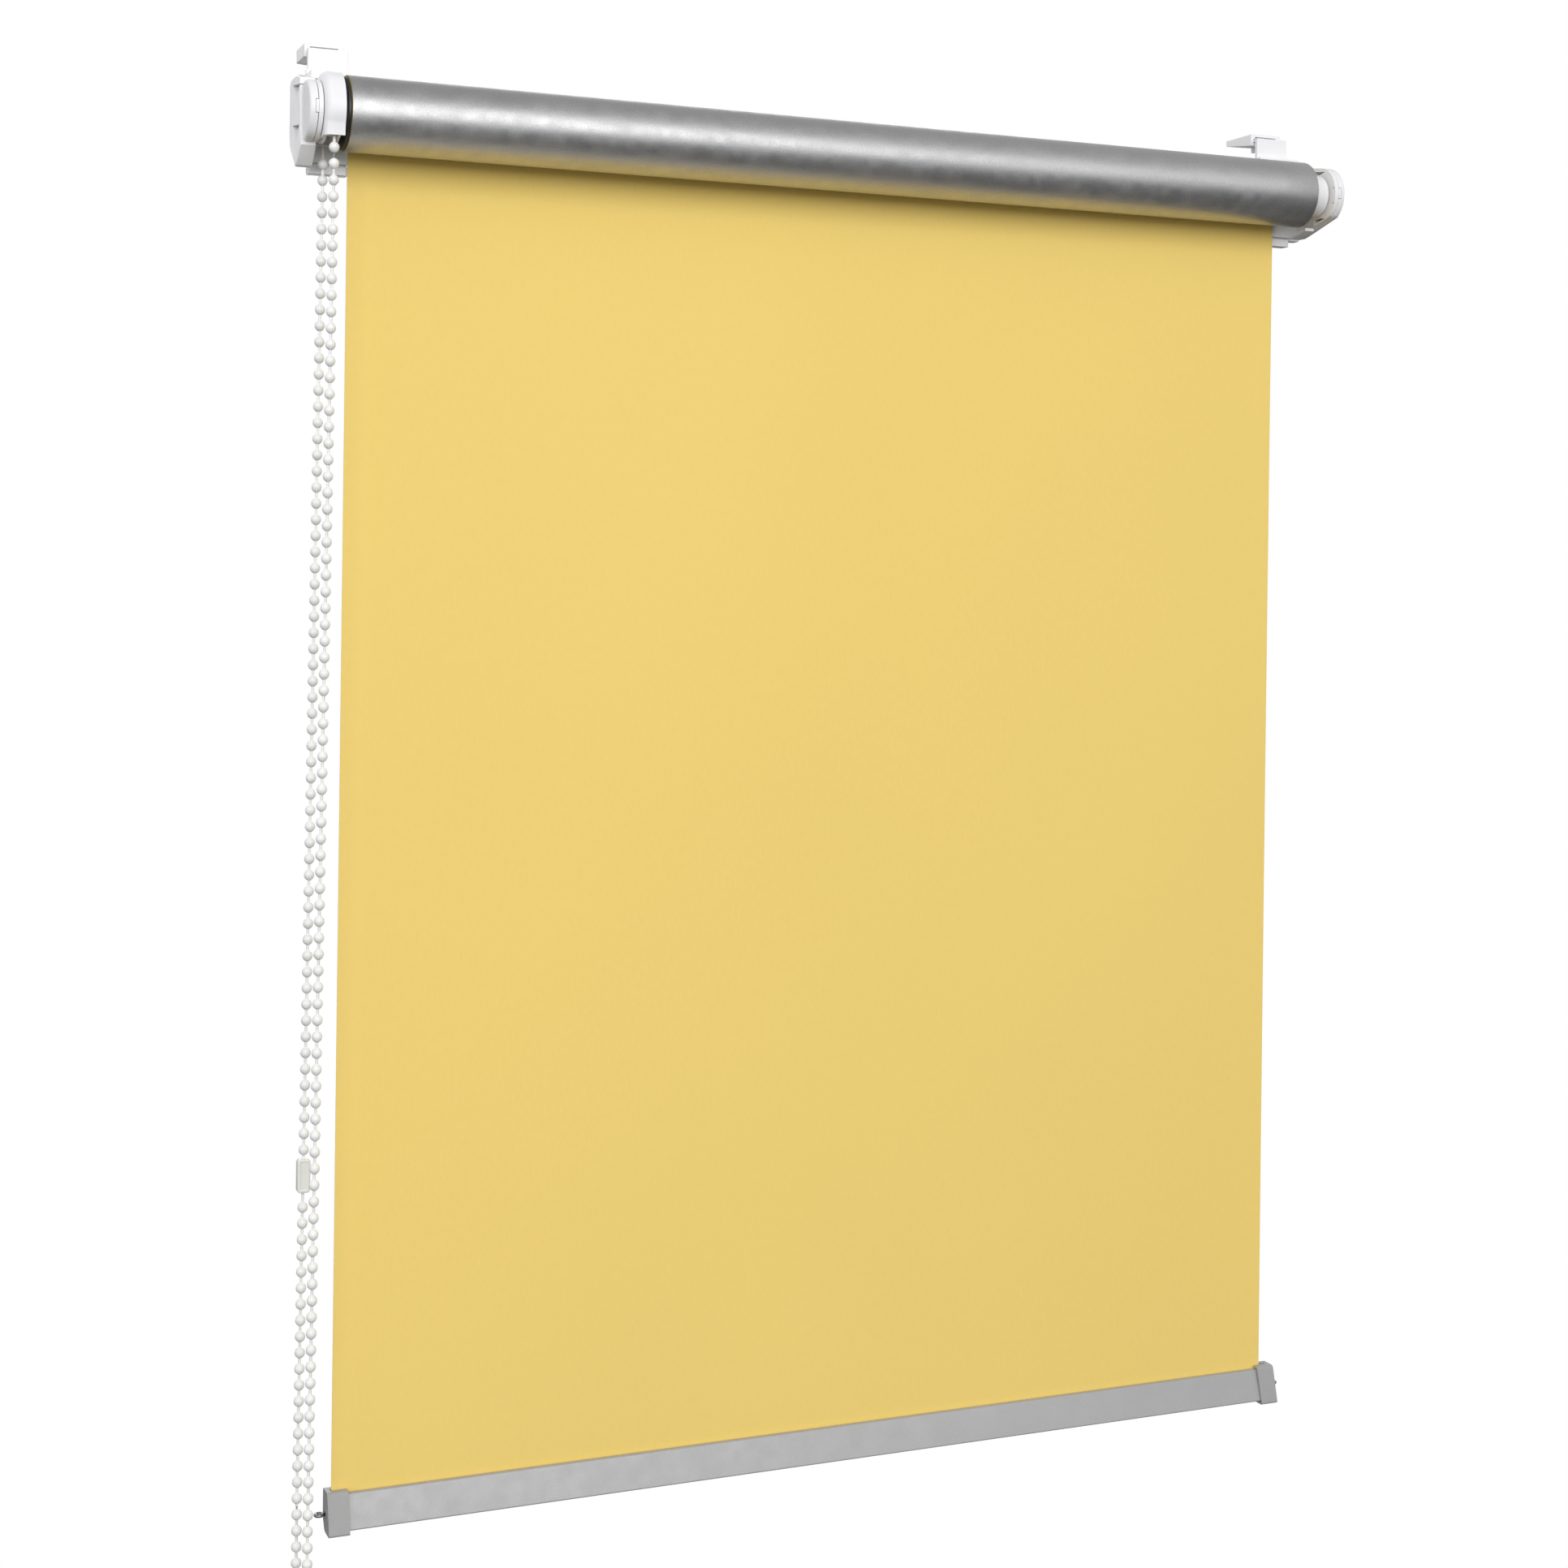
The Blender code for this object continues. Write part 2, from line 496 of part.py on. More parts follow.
def build_bottom_bar():
    rail_x0 = LEFT_CAP_X + CAP_END_WALL + GAP
    rail_x1 = RIGHT_CAP_X - CAP_END_WALL - GAP
    rail = prism("bottom_rail", rail_outline(0), rail_x0, rail_x1, "rail_metal", round_length=0.7)
    slot = RAIL_SLOT / 2
    far = 5.0
    channel_top = RAIL_TOP_Z - 3.0
    combine(rail, "DIFFERENCE",
            block("rail_slot", (rail_x0 - far, CLOTH_Y - slot, channel_top - 1),
                  (rail_x1 + far, CLOTH_Y + slot, RAIL_TOP_Z + 2)),
            block("rail_channel", (rail_x0 - far, CLOTH_Y - 1.65, channel_top - 4.4),
                  (rail_x1 + far, CLOTH_Y + 1.65, channel_top)))
    block("hem_strip", (CLOTH_INSET + 1, CLOTH_Y - 1.3, channel_top - 4.0),
          (ROLL_LENGTH - CLOTH_INSET - 1, CLOTH_Y + 1.3, channel_top - GAP - 0.1), "white_plastic")
    rail_cavity_grow = GAP
    eye_z = RAIL_TOP_Z - 7.5
    for side, end, sign in (("left", LEFT_CAP_X, 1), ("right", RIGHT_CAP_X, -1)):
        outer = sorted((end, end + sign * CAP_LENGTH))
        cap = prism(side + "_end_cap", rail_outline(CAP_LIP), *outer, "grey_plastic", round_length=1.1)
        wall = end + sign * CAP_END_WALL
        hollow = sorted((wall, end + sign * (CAP_LENGTH + 2)))
        cavity = prism(side + "_cap_cavity", rail_outline(rail_cavity_grow), *hollow)
        cut = sorted((wall - sign * 0.2, end + sign * (CAP_LENGTH + 2)))
        cloth_slot = block(side + "_cap_slot", (cut[0], CLOTH_Y - slot, RAIL_TOP_Z - 1),
                           (cut[1], CLOTH_Y + slot, RAIL_TOP_Z + CAP_LIP + 2))
        bore = sorted((end - sign * 3, end + sign * 3))
        hole = prism(side + "_eye_bore", arc_points(EYE_WIRE_RADIUS + GAP + 0.15, 0, 345, 24,
                                                    (CLOTH_Y, eye_z)), *bore)
        combine(cap, "DIFFERENCE", cavity, cloth_slot, hole)
        build_cord_eye(side, end, sign, eye_z)


def build_cord_eye(side, end, sign, eye_z):
    """Ring for a side guide cord, lying flat, with a stem in the end cap."""
    centre = end - sign * (EYE_RADIUS + EYE_WIRE_RADIUS + 0.15)
    bm = bmesh.new()
    stand = Matrix.Translation((EYE_RADIUS, 0, 0)) @ Matrix.Rotation(math.pi / 2, 4, "X")
    bmesh.ops.create_circle(bm, segments=10, radius=EYE_WIRE_RADIUS, matrix=stand)
    bmesh.ops.spin(bm, geom=list(bm.verts) + list(bm.edges), cent=(0, 0, 0), axis=(0, 0, 1),
                   angle=2 * math.pi, steps=24, use_merge=True)
    bmesh.ops.remove_doubles(bm, verts=bm.verts, dist=1e-4)
    bmesh.ops.translate(bm, verts=bm.verts, vec=(centre, CLOTH_Y, eye_z))
    eye = add_object(side + "_cord_eye", finish_mesh(side + "_cord_eye", bm, smooth=True), "spring_steel")
    stem = sorted((centre + sign * EYE_RADIUS, end + sign * (CAP_END_WALL - GAP)))
    rod = prism(side + "_eye_stem", arc_points(EYE_WIRE_RADIUS * 0.9, 0, 330, 12, (CLOTH_Y, eye_z)), *stem)
    combine(eye, "UNION", rod)


# --- chain ------------------------------------------------------------------

def strand_x(z):
    return CHAIN_X - CHAIN_LEAN * min(1.0, max(0.0, (-z - 20.0) / 495.0))


def chain_point(travel):
    """The point of the loop at a distance travelled from the wheel's front tangent point."""
    straight = CHAIN_DROP - WHEEL_RADIUS
    turn = math.pi * WHEEL_RADIUS
    if travel < straight:
        y, z = -WHEEL_RADIUS, -travel
    elif travel < straight + turn:
        angle = (travel - straight) / WHEEL_RADIUS
        y, z = -WHEEL_RADIUS * math.cos(angle), -straight - WHEEL_RADIUS * math.sin(angle)
    else:
        y, z = WHEEL_RADIUS, -straight + (travel - straight - turn)
    return (strand_x(z), y, z)


def spaced(start, end, spacing):
    count = max(1, math.ceil((end - start) / spacing))
    return [start + (end - start) * i / count for i in range(count)]


def chain_route(start, end):
    """Points from one distance along the loop to another, closer together in its bottom turn."""
    straight = CHAIN_DROP - WHEEL_RADIUS
    turn_end = straight + math.pi * WHEEL_RADIUS
    if start > turn_end:
        travelled = spaced(start, end, 19.0)
    else:
        travelled = spaced(start, straight, 19.0) + spaced(straight, turn_end, 3.0)
        travelled += spaced(turn_end, end, 19.0)
    return [chain_point(travel) for travel in travelled + [end]]


def build_chain():
    straight = CHAIN_DROP - WHEEL_RADIUS
    whole = 2 * straight + math.pi * WHEEL_RADIUS
    connector_low = whole + CONNECTOR_TOP_Z - CONNECTOR_SIZE[2]
    connector_high = whole + CONNECTOR_TOP_Z
    swept("chain_run_front", chain_route(-RUN_TOP_Z, connector_low - GAP), BEAD_RADIUS,
          "white_plastic")
    swept("chain_run_rear", chain_route(connector_high + GAP, whole + RUN_TOP_Z), BEAD_RADIUS,
          "white_plastic")
    middle_x = strand_x(CONNECTOR_TOP_Z - CONNECTOR_SIZE[2] / 2)
    half_x, half_y = CONNECTOR_SIZE[0] / 2, CONNECTOR_SIZE[1] / 2
    foot_z = CONNECTOR_TOP_Z - CONNECTOR_SIZE[2]
    block("chain_connector", (middle_x - half_x, WHEEL_RADIUS - half_y, foot_z),
          (middle_x + half_x, WHEEL_RADIUS + half_y, CONNECTOR_TOP_Z), "natural_plastic", round_edge=0.8)


def main():
    clear_scene()
    frame = bpy.data.objects.new("axis_frame", None)
    frame.location = Vector(FRAME_ORIGIN) * MM
    bpy.context.scene.collection.objects.link(frame)
    build_roll()
    sleeve_inner = build_wheel()
    build_guard()
    build_clutch(sleeve_inner)
    build_left_bracket()
    build_right_bracket()
    build_idle_end()
    build_clamp("left", CLAMP_LEFT_X)
    build_clamp("right", CLAMP_RIGHT_X)
    build_bottom_bar()
    build_chain()
    bpy.context.view_layer.update()


main()
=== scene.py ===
# %% [markdown]
# # A side-chain roller blind
#
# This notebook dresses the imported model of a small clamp-on roller blind. The frame gives every
# piece its real place and size, in metres, so each cell below only asks what a piece looks like:
# how its shape catches light, and what its surface is made of. We work from the outside in:
# camera and room first, then the bead chain, the cloth, the roll, and the moulded parts.

# %% Load the frame
import json
import math

import bmesh
import bpy
from mathutils import Matrix, Vector


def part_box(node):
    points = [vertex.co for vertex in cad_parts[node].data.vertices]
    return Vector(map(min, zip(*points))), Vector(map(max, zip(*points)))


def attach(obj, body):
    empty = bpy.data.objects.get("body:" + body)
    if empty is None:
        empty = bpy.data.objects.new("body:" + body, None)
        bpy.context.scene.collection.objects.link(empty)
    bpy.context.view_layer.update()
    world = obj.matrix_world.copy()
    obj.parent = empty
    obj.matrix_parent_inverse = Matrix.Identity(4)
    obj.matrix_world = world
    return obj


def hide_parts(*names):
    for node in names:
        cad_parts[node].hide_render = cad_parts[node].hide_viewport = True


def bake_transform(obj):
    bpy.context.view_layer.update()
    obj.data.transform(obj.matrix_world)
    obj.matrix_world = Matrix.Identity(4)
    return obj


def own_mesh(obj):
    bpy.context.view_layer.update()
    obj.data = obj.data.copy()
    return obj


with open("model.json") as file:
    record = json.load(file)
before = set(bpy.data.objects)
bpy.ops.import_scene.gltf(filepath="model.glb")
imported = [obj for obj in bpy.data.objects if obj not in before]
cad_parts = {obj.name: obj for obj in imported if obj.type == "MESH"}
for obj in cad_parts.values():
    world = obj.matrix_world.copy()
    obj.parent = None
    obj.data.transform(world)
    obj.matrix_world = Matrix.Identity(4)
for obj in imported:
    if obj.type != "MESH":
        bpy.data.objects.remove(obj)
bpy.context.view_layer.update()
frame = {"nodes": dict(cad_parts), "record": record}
MM = 0.001

# %% [markdown]
# ## Reference places
#
# The frame answers where things are. The wound cloth tells us the tube's axis and the roll's
# radius, and the hanging cloth tells us where the sheet starts and ends. Reading them once here
# keeps every later cell free of copied numbers.

# %% Reference places
roll_low, roll_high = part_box("fabric_roll")
cloth_low, cloth_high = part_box("hanging_fabric")
wheel_low, wheel_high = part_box("chain_on_wheel")
AXIS = (roll_low + roll_high) / 2
ROLL_RADIUS = (roll_high.z - roll_low.z) / 2
ROLL_LEFT, ROLL_RIGHT = roll_low.x, roll_high.x
CLOTH_Y = (cloth_low.y + cloth_high.y) / 2

# %% [markdown]
# ## Camera
#
# The blind is looked at from in front of its control end and a little below the roll. A camera
# kept level draws upright edges upright, which is how products are usually shown, and the lens
# shift then slides the picture down so that the whole drop fits. We build the camera's axes
# ourselves, because three vectors are easier to reason about than three Euler angles.

# %% Camera
YAW = math.radians(22.8)
ROLL_TILT = math.radians(0.7)
FOCAL_MM = 55.7
SENSOR_MM = 36
SHIFT_DOWN = -0.1336
CAMERA_FROM_ROLL_END = Vector((-195.5, -888.7, -168.1)) * MM

forward = Vector((math.sin(YAW), math.cos(YAW), 0))
level_right = Vector((math.cos(YAW), -math.sin(YAW), 0))
right = level_right * math.cos(ROLL_TILT) + Vector((0, 0, 1)) * math.sin(ROLL_TILT)
up = right.cross(forward)

camera_data = bpy.data.cameras.new("camera")
camera_data.lens = FOCAL_MM
camera_data.sensor_width = SENSOR_MM
camera_data.shift_y = SHIFT_DOWN
camera_data.clip_start = 0.01
camera = bpy.data.objects.new("camera", camera_data)
bpy.context.scene.collection.objects.link(camera)
axes = Matrix((right, up, -forward)).transposed().to_4x4()
roll_end = Vector((ROLL_LEFT, AXIS.y, AXIS.z))
camera.matrix_world = Matrix.Translation(roll_end + CAMERA_FROM_ROLL_END) @ axes
bpy.context.scene.camera = camera
print("camera stands", round(abs(CAMERA_FROM_ROLL_END.y) / MM), "mm in front of the roll")

# %% [markdown]
# ## The room
#
# The world is white for the camera. For lighting it is a band: brightest around the horizon,
# dimmer above and darkest below, as in a room with pale walls. That band is what models the
# silver roll, because a shiny cylinder shows the whole height of the room squeezed into its
# width: a bright stripe where it faces the walls, and dark edges where it faces up and down.

# %% Room
AMBIENT = 0.72
HEIGHT_BAND = ((0.0, 0.08), (0.38, 0.10), (0.46, 0.70), (0.54, 1.0), (0.74, 0.95), (1.0, 0.45))


def make_world():
    world = bpy.data.worlds.new("studio")
    world.use_nodes = True
    nodes, links = world.node_tree.nodes, world.node_tree.links
    nodes.clear()
    seen = nodes.new("ShaderNodeBackground")
    seen.inputs["Color"].default_value = (1, 1, 1, 1)
    lit = nodes.new("ShaderNodeBackground")
    lit.inputs["Strength"].default_value = AMBIENT
    direction = nodes.new("ShaderNodeTexCoord")
    parts = nodes.new("ShaderNodeSeparateXYZ")
    height = nodes.new("ShaderNodeMapRange")
    height.inputs["From Min"].default_value = -1.0
    band = nodes.new("ShaderNodeValToRGB")
    ramp = band.color_ramp
    while len(ramp.elements) < len(HEIGHT_BAND):
        ramp.elements.new(0.5)
    for element, (place, level) in zip(ramp.elements, HEIGHT_BAND):
        element.position = place
        element.color = (level, level, level, 1)
    links.new(direction.outputs["Generated"], parts.inputs[0])
    links.new(parts.outputs["Z"], height.inputs["Value"])
    links.new(height.outputs["Result"], band.inputs["Fac"])
    links.new(band.outputs["Color"], lit.inputs["Color"])
    path = nodes.new("ShaderNodeLightPath")
    mix = nodes.new("ShaderNodeMixShader")
    out = nodes.new("ShaderNodeOutputWorld")
    links.new(path.outputs["Is Camera Ray"], mix.inputs["Fac"])
    links.new(lit.outputs[0], mix.inputs[1])
    links.new(seen.outputs[0], mix.inputs[2])
    links.new(mix.outputs[0], out.inputs["Surface"])
    bpy.context.scene.world = world


make_world()
bpy.context.scene.view_settings.view_transform = "Standard"
print("room levels from floor to ceiling:", [level for _, level in HEIGHT_BAND])

# %% [markdown]
# ## Lights
#
# A large soft panel on the camera's side strengthens the roll's bright stripe and lights the
# cloth. A smaller one opens the shaded flank of the control end, and a third shines in from
# behind, as a window would, on the coated side.

# %% Lights
LIGHT_AIM = Vector((0, 0, -0.15))
LIGHTS = (
    ("key_panel", (-0.25, -1.9, 0.5), (2.4, 1.2), 25),
    ("side_panel", (-1.6, -0.9, 0.1), (1.0, 1.0), 5),
    ("window_light", (0.2, 1.5, 0.3), (1.4, 1.4), 8),
)


def soft_light(name, place, size, power):
    data = bpy.data.lights.new(name, "AREA")
    data.shape = "RECTANGLE"
    data.size, data.size_y = size
    data.energy = power
    light = bpy.data.objects.new(name, data)
    light.location = place
    light.rotation_euler = (LIGHT_AIM - Vector(place)).to_track_quat("-Z", "Y").to_euler()
    bpy.context.scene.collection.objects.link(light)


for light_settings in LIGHTS:
    soft_light(*light_settings)
print("lights:", len(LIGHTS))

# %% [markdown]
# ## Floor
#
# A hanging object needs no ground contact, so the floor is only a pale disc well below the
# blind, clear of the bottom bar at the end of its travel.

# %% Floor
FLOOR_Z = AXIS.z - 1.62
FLOOR_RADIUS = 0.75
FLOOR_COLOUR = (0.7, 0.7, 0.69, 1)


def finished_mesh(name, bm):
    """A named mesh from a bmesh, which is let go."""
    mesh = bpy.data.meshes.new(name)
    bm.to_mesh(mesh)
    bm.free()
    return mesh


floor_bm = bmesh.new()
bmesh.ops.create_circle(floor_bm, cap_ends=True, segments=96, radius=FLOOR_RADIUS,
                        matrix=Matrix.Translation((0, 0, FLOOR_Z)))
floor = bpy.data.objects.new("floor", finished_mesh("floor", floor_bm))
bpy.context.scene.collection.objects.link(floor)
floor_paint = bpy.data.materials.new("pale_floor")
floor_paint.use_nodes = True
floor_shader = floor_paint.node_tree.nodes["Principled BSDF"]
floor_shader.inputs["Base Color"].default_value = FLOOR_COLOUR
floor_shader.inputs["Roughness"].default_value = 0.7
floor.data.materials.append(floor_paint)
print("floor at", round(FLOOR_Z, 3), "m")

# %% [markdown]
# ## Two surface effects shared by many finishes
#
# Nothing that comes out of a mould or off a coating line is perfectly even. *Fine grain* is a
# small three-dimensional noise that gives a value for colour or roughness and a height for
# bump. *Handling* is a much larger, softer noise: the faint patches where a surface has been
# touched or wiped. Both are node groups, so each finish can set its own size and strength.

# %% Shared node groups


def group_with(name, inputs, outputs):
    tree = bpy.data.node_groups.new(name, "ShaderNodeTree")
    for label, value in inputs:
        socket = tree.interface.new_socket(label, in_out="INPUT", socket_type="NodeSocketFloat")
        socket.default_value = value
    for label in outputs:
        tree.interface.new_socket(label, in_out="OUTPUT", socket_type="NodeSocketFloat")
    return tree, tree.nodes.new("NodeGroupInput"), tree.nodes.new("NodeGroupOutput")


def math_node(tree, operation, *values):
    """One Math node; each value is a number or another node's output."""
    node = tree.nodes.new("ShaderNodeMath")
    node.operation = operation
    for socket, value in zip(node.inputs, values):
        if isinstance(value, (int, float)):
            socket.default_value = value
        else:
            tree.links.new(value, socket)
    return node.outputs[0]


def make_noise_group(name, detail, low, high):
    """Object-space noise, stretched from low..high to -1..1: Value is one plus its strength times that."""
    tree, given, out = group_with(name, (("Size mm", 0.5), ("Strength", 0.1)), ("Value", "Height"))
    nodes, links = tree.nodes, tree.links
    place = nodes.new("ShaderNodeTexCoord")
    scale = math_node(tree, "DIVIDE", 1 / MM, given.outputs["Size mm"])
    noise = nodes.new("ShaderNodeTexNoise")
    noise.inputs["Detail"].default_value = detail
    spread = nodes.new("ShaderNodeMapRange")
    spread.inputs["From Min"].default_value = low
    spread.inputs["From Max"].default_value = high
    spread.inputs["To Min"].default_value = -1.0
    value = math_node(tree, "MULTIPLY_ADD", spread.outputs["Result"], given.outputs["Strength"], 1.0)
    links.new(place.outputs["Object"], noise.inputs["Vector"])
    links.new(scale, noise.inputs["Scale"])
    links.new(noise.outputs["Fac"], spread.inputs["Value"])
    links.new(value, out.inputs["Value"])
    links.new(noise.outputs["Fac"], out.inputs["Height"])
    return tree


FINE_GRAIN = make_noise_group("fine_grain", 3.0, 0.35, 0.65)
HANDLING = make_noise_group("handling", 1.0, 0.3, 0.7)
print("shared effects:", FINE_GRAIN.name, HANDLING.name)

# %% [markdown]
# ## Moulded and metal finishes
#
# One recipe serves every solid finish: a base colour multiplied by grain and handling, a
# roughness that the handling varies, and a bump from the grain. What tells glossy white
# plastic from satin rail paint is only how much of each it gets. Constants go straight on the
# shader's own sockets.

# %% Solid finishes
GLOSS_CHANGE = (6.0, 0.12)   # patch size in millimetres and strength
GRAIN_DEPTH = 0.1 * MM


def srgb(*levels):
    """A screen colour, 0 to 255, as the linear value that shaders want."""
    return tuple(c / 255 / 12.92 if c <= 10 else ((c / 255 + 0.055) / 1.055) ** 2.4 for c in levels)


def add_group(tree, group, size, strength):
    node = tree.nodes.new("ShaderNodeGroup")
    node.node_tree = group
    node.inputs["Size mm"].default_value = size
    node.inputs["Strength"].default_value = strength
    return node


def tinted(tree, colour, *values):
    """The colour times each value, as a chain of multiplying mixes."""
    last = None
    for value in values:
        mix = tree.nodes.new("ShaderNodeMix")
        mix.data_type = "RGBA"
        mix.blend_type = "MULTIPLY"
        mix.inputs["Factor"].default_value = 1.0
        if last is None:
            mix.inputs["A"].default_value = (*colour, 1)
        else:
            tree.links.new(last, mix.inputs["A"])
        tree.links.new(value, mix.inputs["B"])
        last = mix.outputs["Result"]
    return last


def solid_finish(name, colour, roughness, metallic=0.0, grain=(0.35, 0.02), handling=(14, 0.02),
                 bump=0.05, subsurface=0.0):
    material = bpy.data.materials.new(name)
    material.use_nodes = True
    tree = material.node_tree
    shader = tree.nodes["Principled BSDF"]
    fine = add_group(tree, FINE_GRAIN, *grain)
    soft = add_group(tree, HANDLING, *handling)
    tree.links.new(tinted(tree, colour, fine.outputs["Value"], soft.outputs["Value"]),
                   shader.inputs["Base Color"])
    gloss = add_group(tree, HANDLING, *GLOSS_CHANGE)
    rough = math_node(tree, "MULTIPLY", gloss.outputs["Value"], roughness)
    tree.links.new(rough, shader.inputs["Roughness"])
    height = tree.nodes.new("ShaderNodeBump")
    height.inputs["Strength"].default_value = bump
    height.inputs["Distance"].default_value = GRAIN_DEPTH
    tree.links.new(fine.outputs["Height"], height.inputs["Height"])
    tree.links.new(height.outputs["Normal"], shader.inputs["Normal"])
    shader.inputs["Metallic"].default_value = metallic
    shader.inputs["Subsurface Weight"].default_value = subsurface
    shader.inputs["Subsurface Radius"].default_value = (MM, MM, MM)
    return material


WHITE = solid_finish("white_moulding", srgb(243, 243, 245), 0.34, grain=(0.5, 0.008), bump=0.04)
BEAD = solid_finish("bead_plastic", srgb(243, 244, 242), 0.4, grain=(0.6, 0.01), bump=0.03)
NATURAL = solid_finish("natural_plastic", srgb(238, 238, 232), 0.35, bump=0.03, subsurface=0.15)
BLACK = solid_finish("black_plastic", srgb(38, 38, 39), 0.4, grain=(0.4, 0.1), bump=0.1)
CAP_GREY = solid_finish("grey_cap_plastic", srgb(166, 166, 166), 0.42, grain=(0.3, 0.05), bump=0.12)
RAIL_PAINT = solid_finish("rail_satin", srgb(174, 174, 175), 0.42, 0.25, grain=(0.3, 0.06), bump=0.12)
ALUMINIUM = solid_finish("tube_aluminium", srgb(205, 205, 208), 0.32, 1.0, grain=(0.4, 0.05))
STEEL = solid_finish("spring_steel", srgb(150, 150, 152), 0.3, 1.0, grain=(0.25, 0.08))
SILVER = solid_finish("silver_coating", srgb(190, 190, 191), 0.44, 0.88, grain=(0.34, 0.12),
                      handling=(40, 0.015), bump=0.35)
print("solid finishes:", len(bpy.data.materials) - 1)

# %% [markdown]
# ## Making and placing pieces
#
# Two helpers keep the modelling cells short. The first turns a finished bmesh into an object,
# shades it smooth and lets it ride on a body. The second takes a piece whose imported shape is
# already right, merges its loose triangles, rounds its sharp edges with a small bevel and gives
# it the new finish: real edges always have a radius, and that thin highlight is what makes
# plastic look moulded.

# %% Piece helpers
SAME_POINT = 0.001 * MM
CORNER_ANGLE = 40


def add_piece(name, bm, material, body, smooth_angle=CORNER_ANGLE, recalc=True):
    """An object from a bmesh; with no body it stands free."""
    bmesh.ops.remove_doubles(bm, verts=bm.verts, dist=SAME_POINT)
    if recalc:
        bmesh.ops.recalc_face_normals(bm, faces=bm.faces)
    mesh = finished_mesh(name, bm)
    mesh.shade_smooth()
    mesh.set_sharp_from_angle(angle=math.radians(smooth_angle))
    mesh.materials.append(material)
    piece = bpy.data.objects.new(name, mesh)
    bpy.context.scene.collection.objects.link(piece)
    if body:
        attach(piece, body)
    return piece


bodies = frame["record"]["behaviour"]["bodies"]
BODY_OF = {node: body for body, nodes in bodies.items() for node in nodes}


def refined(node, material, round_mm):
    """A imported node's own shape, merged, with rounded edges and a finish."""
    bm = bmesh.new()
    bm.from_mesh(frame["nodes"][node].data)
    bmesh.ops.remove_doubles(bm, verts=bm.verts, dist=2 * SAME_POINT)
    bmesh.ops.dissolve_limit(bm, angle_limit=math.radians(0.5), verts=bm.verts, edges=bm.edges)
    if round_mm:
        corners = [e for e in bm.edges if len(e.link_faces) == 2
                   and e.calc_face_angle(0) > math.radians(CORNER_ANGLE)]
        bmesh.ops.bevel(bm, geom=corners, offset=round_mm * MM, segments=3, affect="EDGES",
                        profile=0.5, material=-1, clamp_overlap=True)
    piece = add_piece(node + "_shell", bm, material, BODY_OF[node], recalc=False)
    piece.modifiers.new("even_shading", "WEIGHTED_NORMAL").keep_sharp = True
    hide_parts(node)
    return piece


print("pieces in the frame:", len(BODY_OF))

# %% [markdown]
# ## The bead chain
#
# Blind chain is a fine cord with plastic beads moulded on it every six millimetres. It leaves
# the drum by the front, hangs in a long loop and comes back up by the rear, where a flat
# connector joins its ends. The route is a rule, not a drawing: down, half a turn the size of
# the wheel, and up. The lower end leans a little towards the outside, as a loop does that hangs
# free. Walking along the rule tells us the place of any bead.

# %% Chain route
PITCH = 6.0 * MM
BEADS_IN_LOOP = 208
WHEEL_POCKETS = 10
WHEEL_RADIUS = PITCH / (2 * math.sin(math.pi / WHEEL_POCKETS))
CHAIN_X = (wheel_low.x + wheel_high.x) / 2
TURN = math.pi * WHEEL_RADIUS
STRAIGHT = BEADS_IN_LOOP * PITCH / 2 - TURN
START = 9.5 * MM
LEAN, LEAN_START, LEAN_LENGTH = 3.6 * MM, 20 * MM, 495 * MM


def chain_point(travel):
    """Place on the loop at a distance from the wheel's front, down the front strand."""
    if travel < STRAIGHT:
        y, z = -WHEEL_RADIUS, -travel
    elif travel < STRAIGHT + TURN:
        angle = (travel - STRAIGHT) / WHEEL_RADIUS
        y, z = -WHEEL_RADIUS * math.cos(angle), -STRAIGHT - WHEEL_RADIUS * math.sin(angle)
    else:
        y, z = WHEEL_RADIUS, travel - 2 * STRAIGHT - TURN
    lean = LEAN * min(1.0, max(0.0, (-z - LEAN_START) / LEAN_LENGTH))
    return Vector((CHAIN_X - lean, AXIS.y + y, AXIS.z + z))


CHAIN_END = 2 * STRAIGHT + TURN - START
connector_low, connector_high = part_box("chain_connector")
CONNECTOR_FROM = CHAIN_END + START + connector_low.z - AXIS.z
CONNECTOR_TO = CHAIN_END + START + connector_high.z - AXIS.z
print(f"chain route {1000 * (CHAIN_END - START):.0f} mm, connector at {CONNECTOR_FROM:.3f} m")

# %% [markdown]
# A bead is a short spun profile rather than a ball, because real beads are slightly
# lemon-shaped and end in a flat collar where the cord enters. There are about two hundred, so
# twelve sides are plenty.

# %% One bead
BEAD_PROFILE = ((-1.98, 0.62), (-1.72, 1.02), (-1.2, 1.56), (-0.5, 1.9), (0.3, 1.93), (1.05, 1.66),
                (1.65, 1.1), (1.98, 0.62))
BEAD_SIDES = 12


def one_bead():
    """Spin the (along, radius) profile, in millimetres, and close its two ends."""
    bm = bmesh.new()
    ring = [bm.verts.new((0, radius * MM, along * MM)) for along, radius in BEAD_PROFILE]
    edges = [bm.edges.new(pair) for pair in zip(ring, ring[1:])]
    bmesh.ops.spin(bm, geom=ring + edges, cent=(0, 0, 0), axis=(0, 0, 1),
                   angle=2 * math.pi, steps=BEAD_SIDES, use_merge=True)
    rims = [e for e in bm.edges if len(e.link_faces) == 1]
    bmesh.ops.holes_fill(bm, edges=rims, sides=BEAD_SIDES)
    bmesh.ops.recalc_face_normals(bm, faces=bm.faces)
    return finished_mesh("one_bead", bm)


bead_mesh = one_bead()
print("faces on a bead:", len(bead_mesh.polygons))

# %% [markdown]
# Between the beads the cord is bare. One small ring is extruded from point to point along the
# route and turned to face the way the route runs, which keeps the cord round in the bends.

# %% Cord
CORD_RADIUS = 0.55 * MM
CORD_SIDES = 6


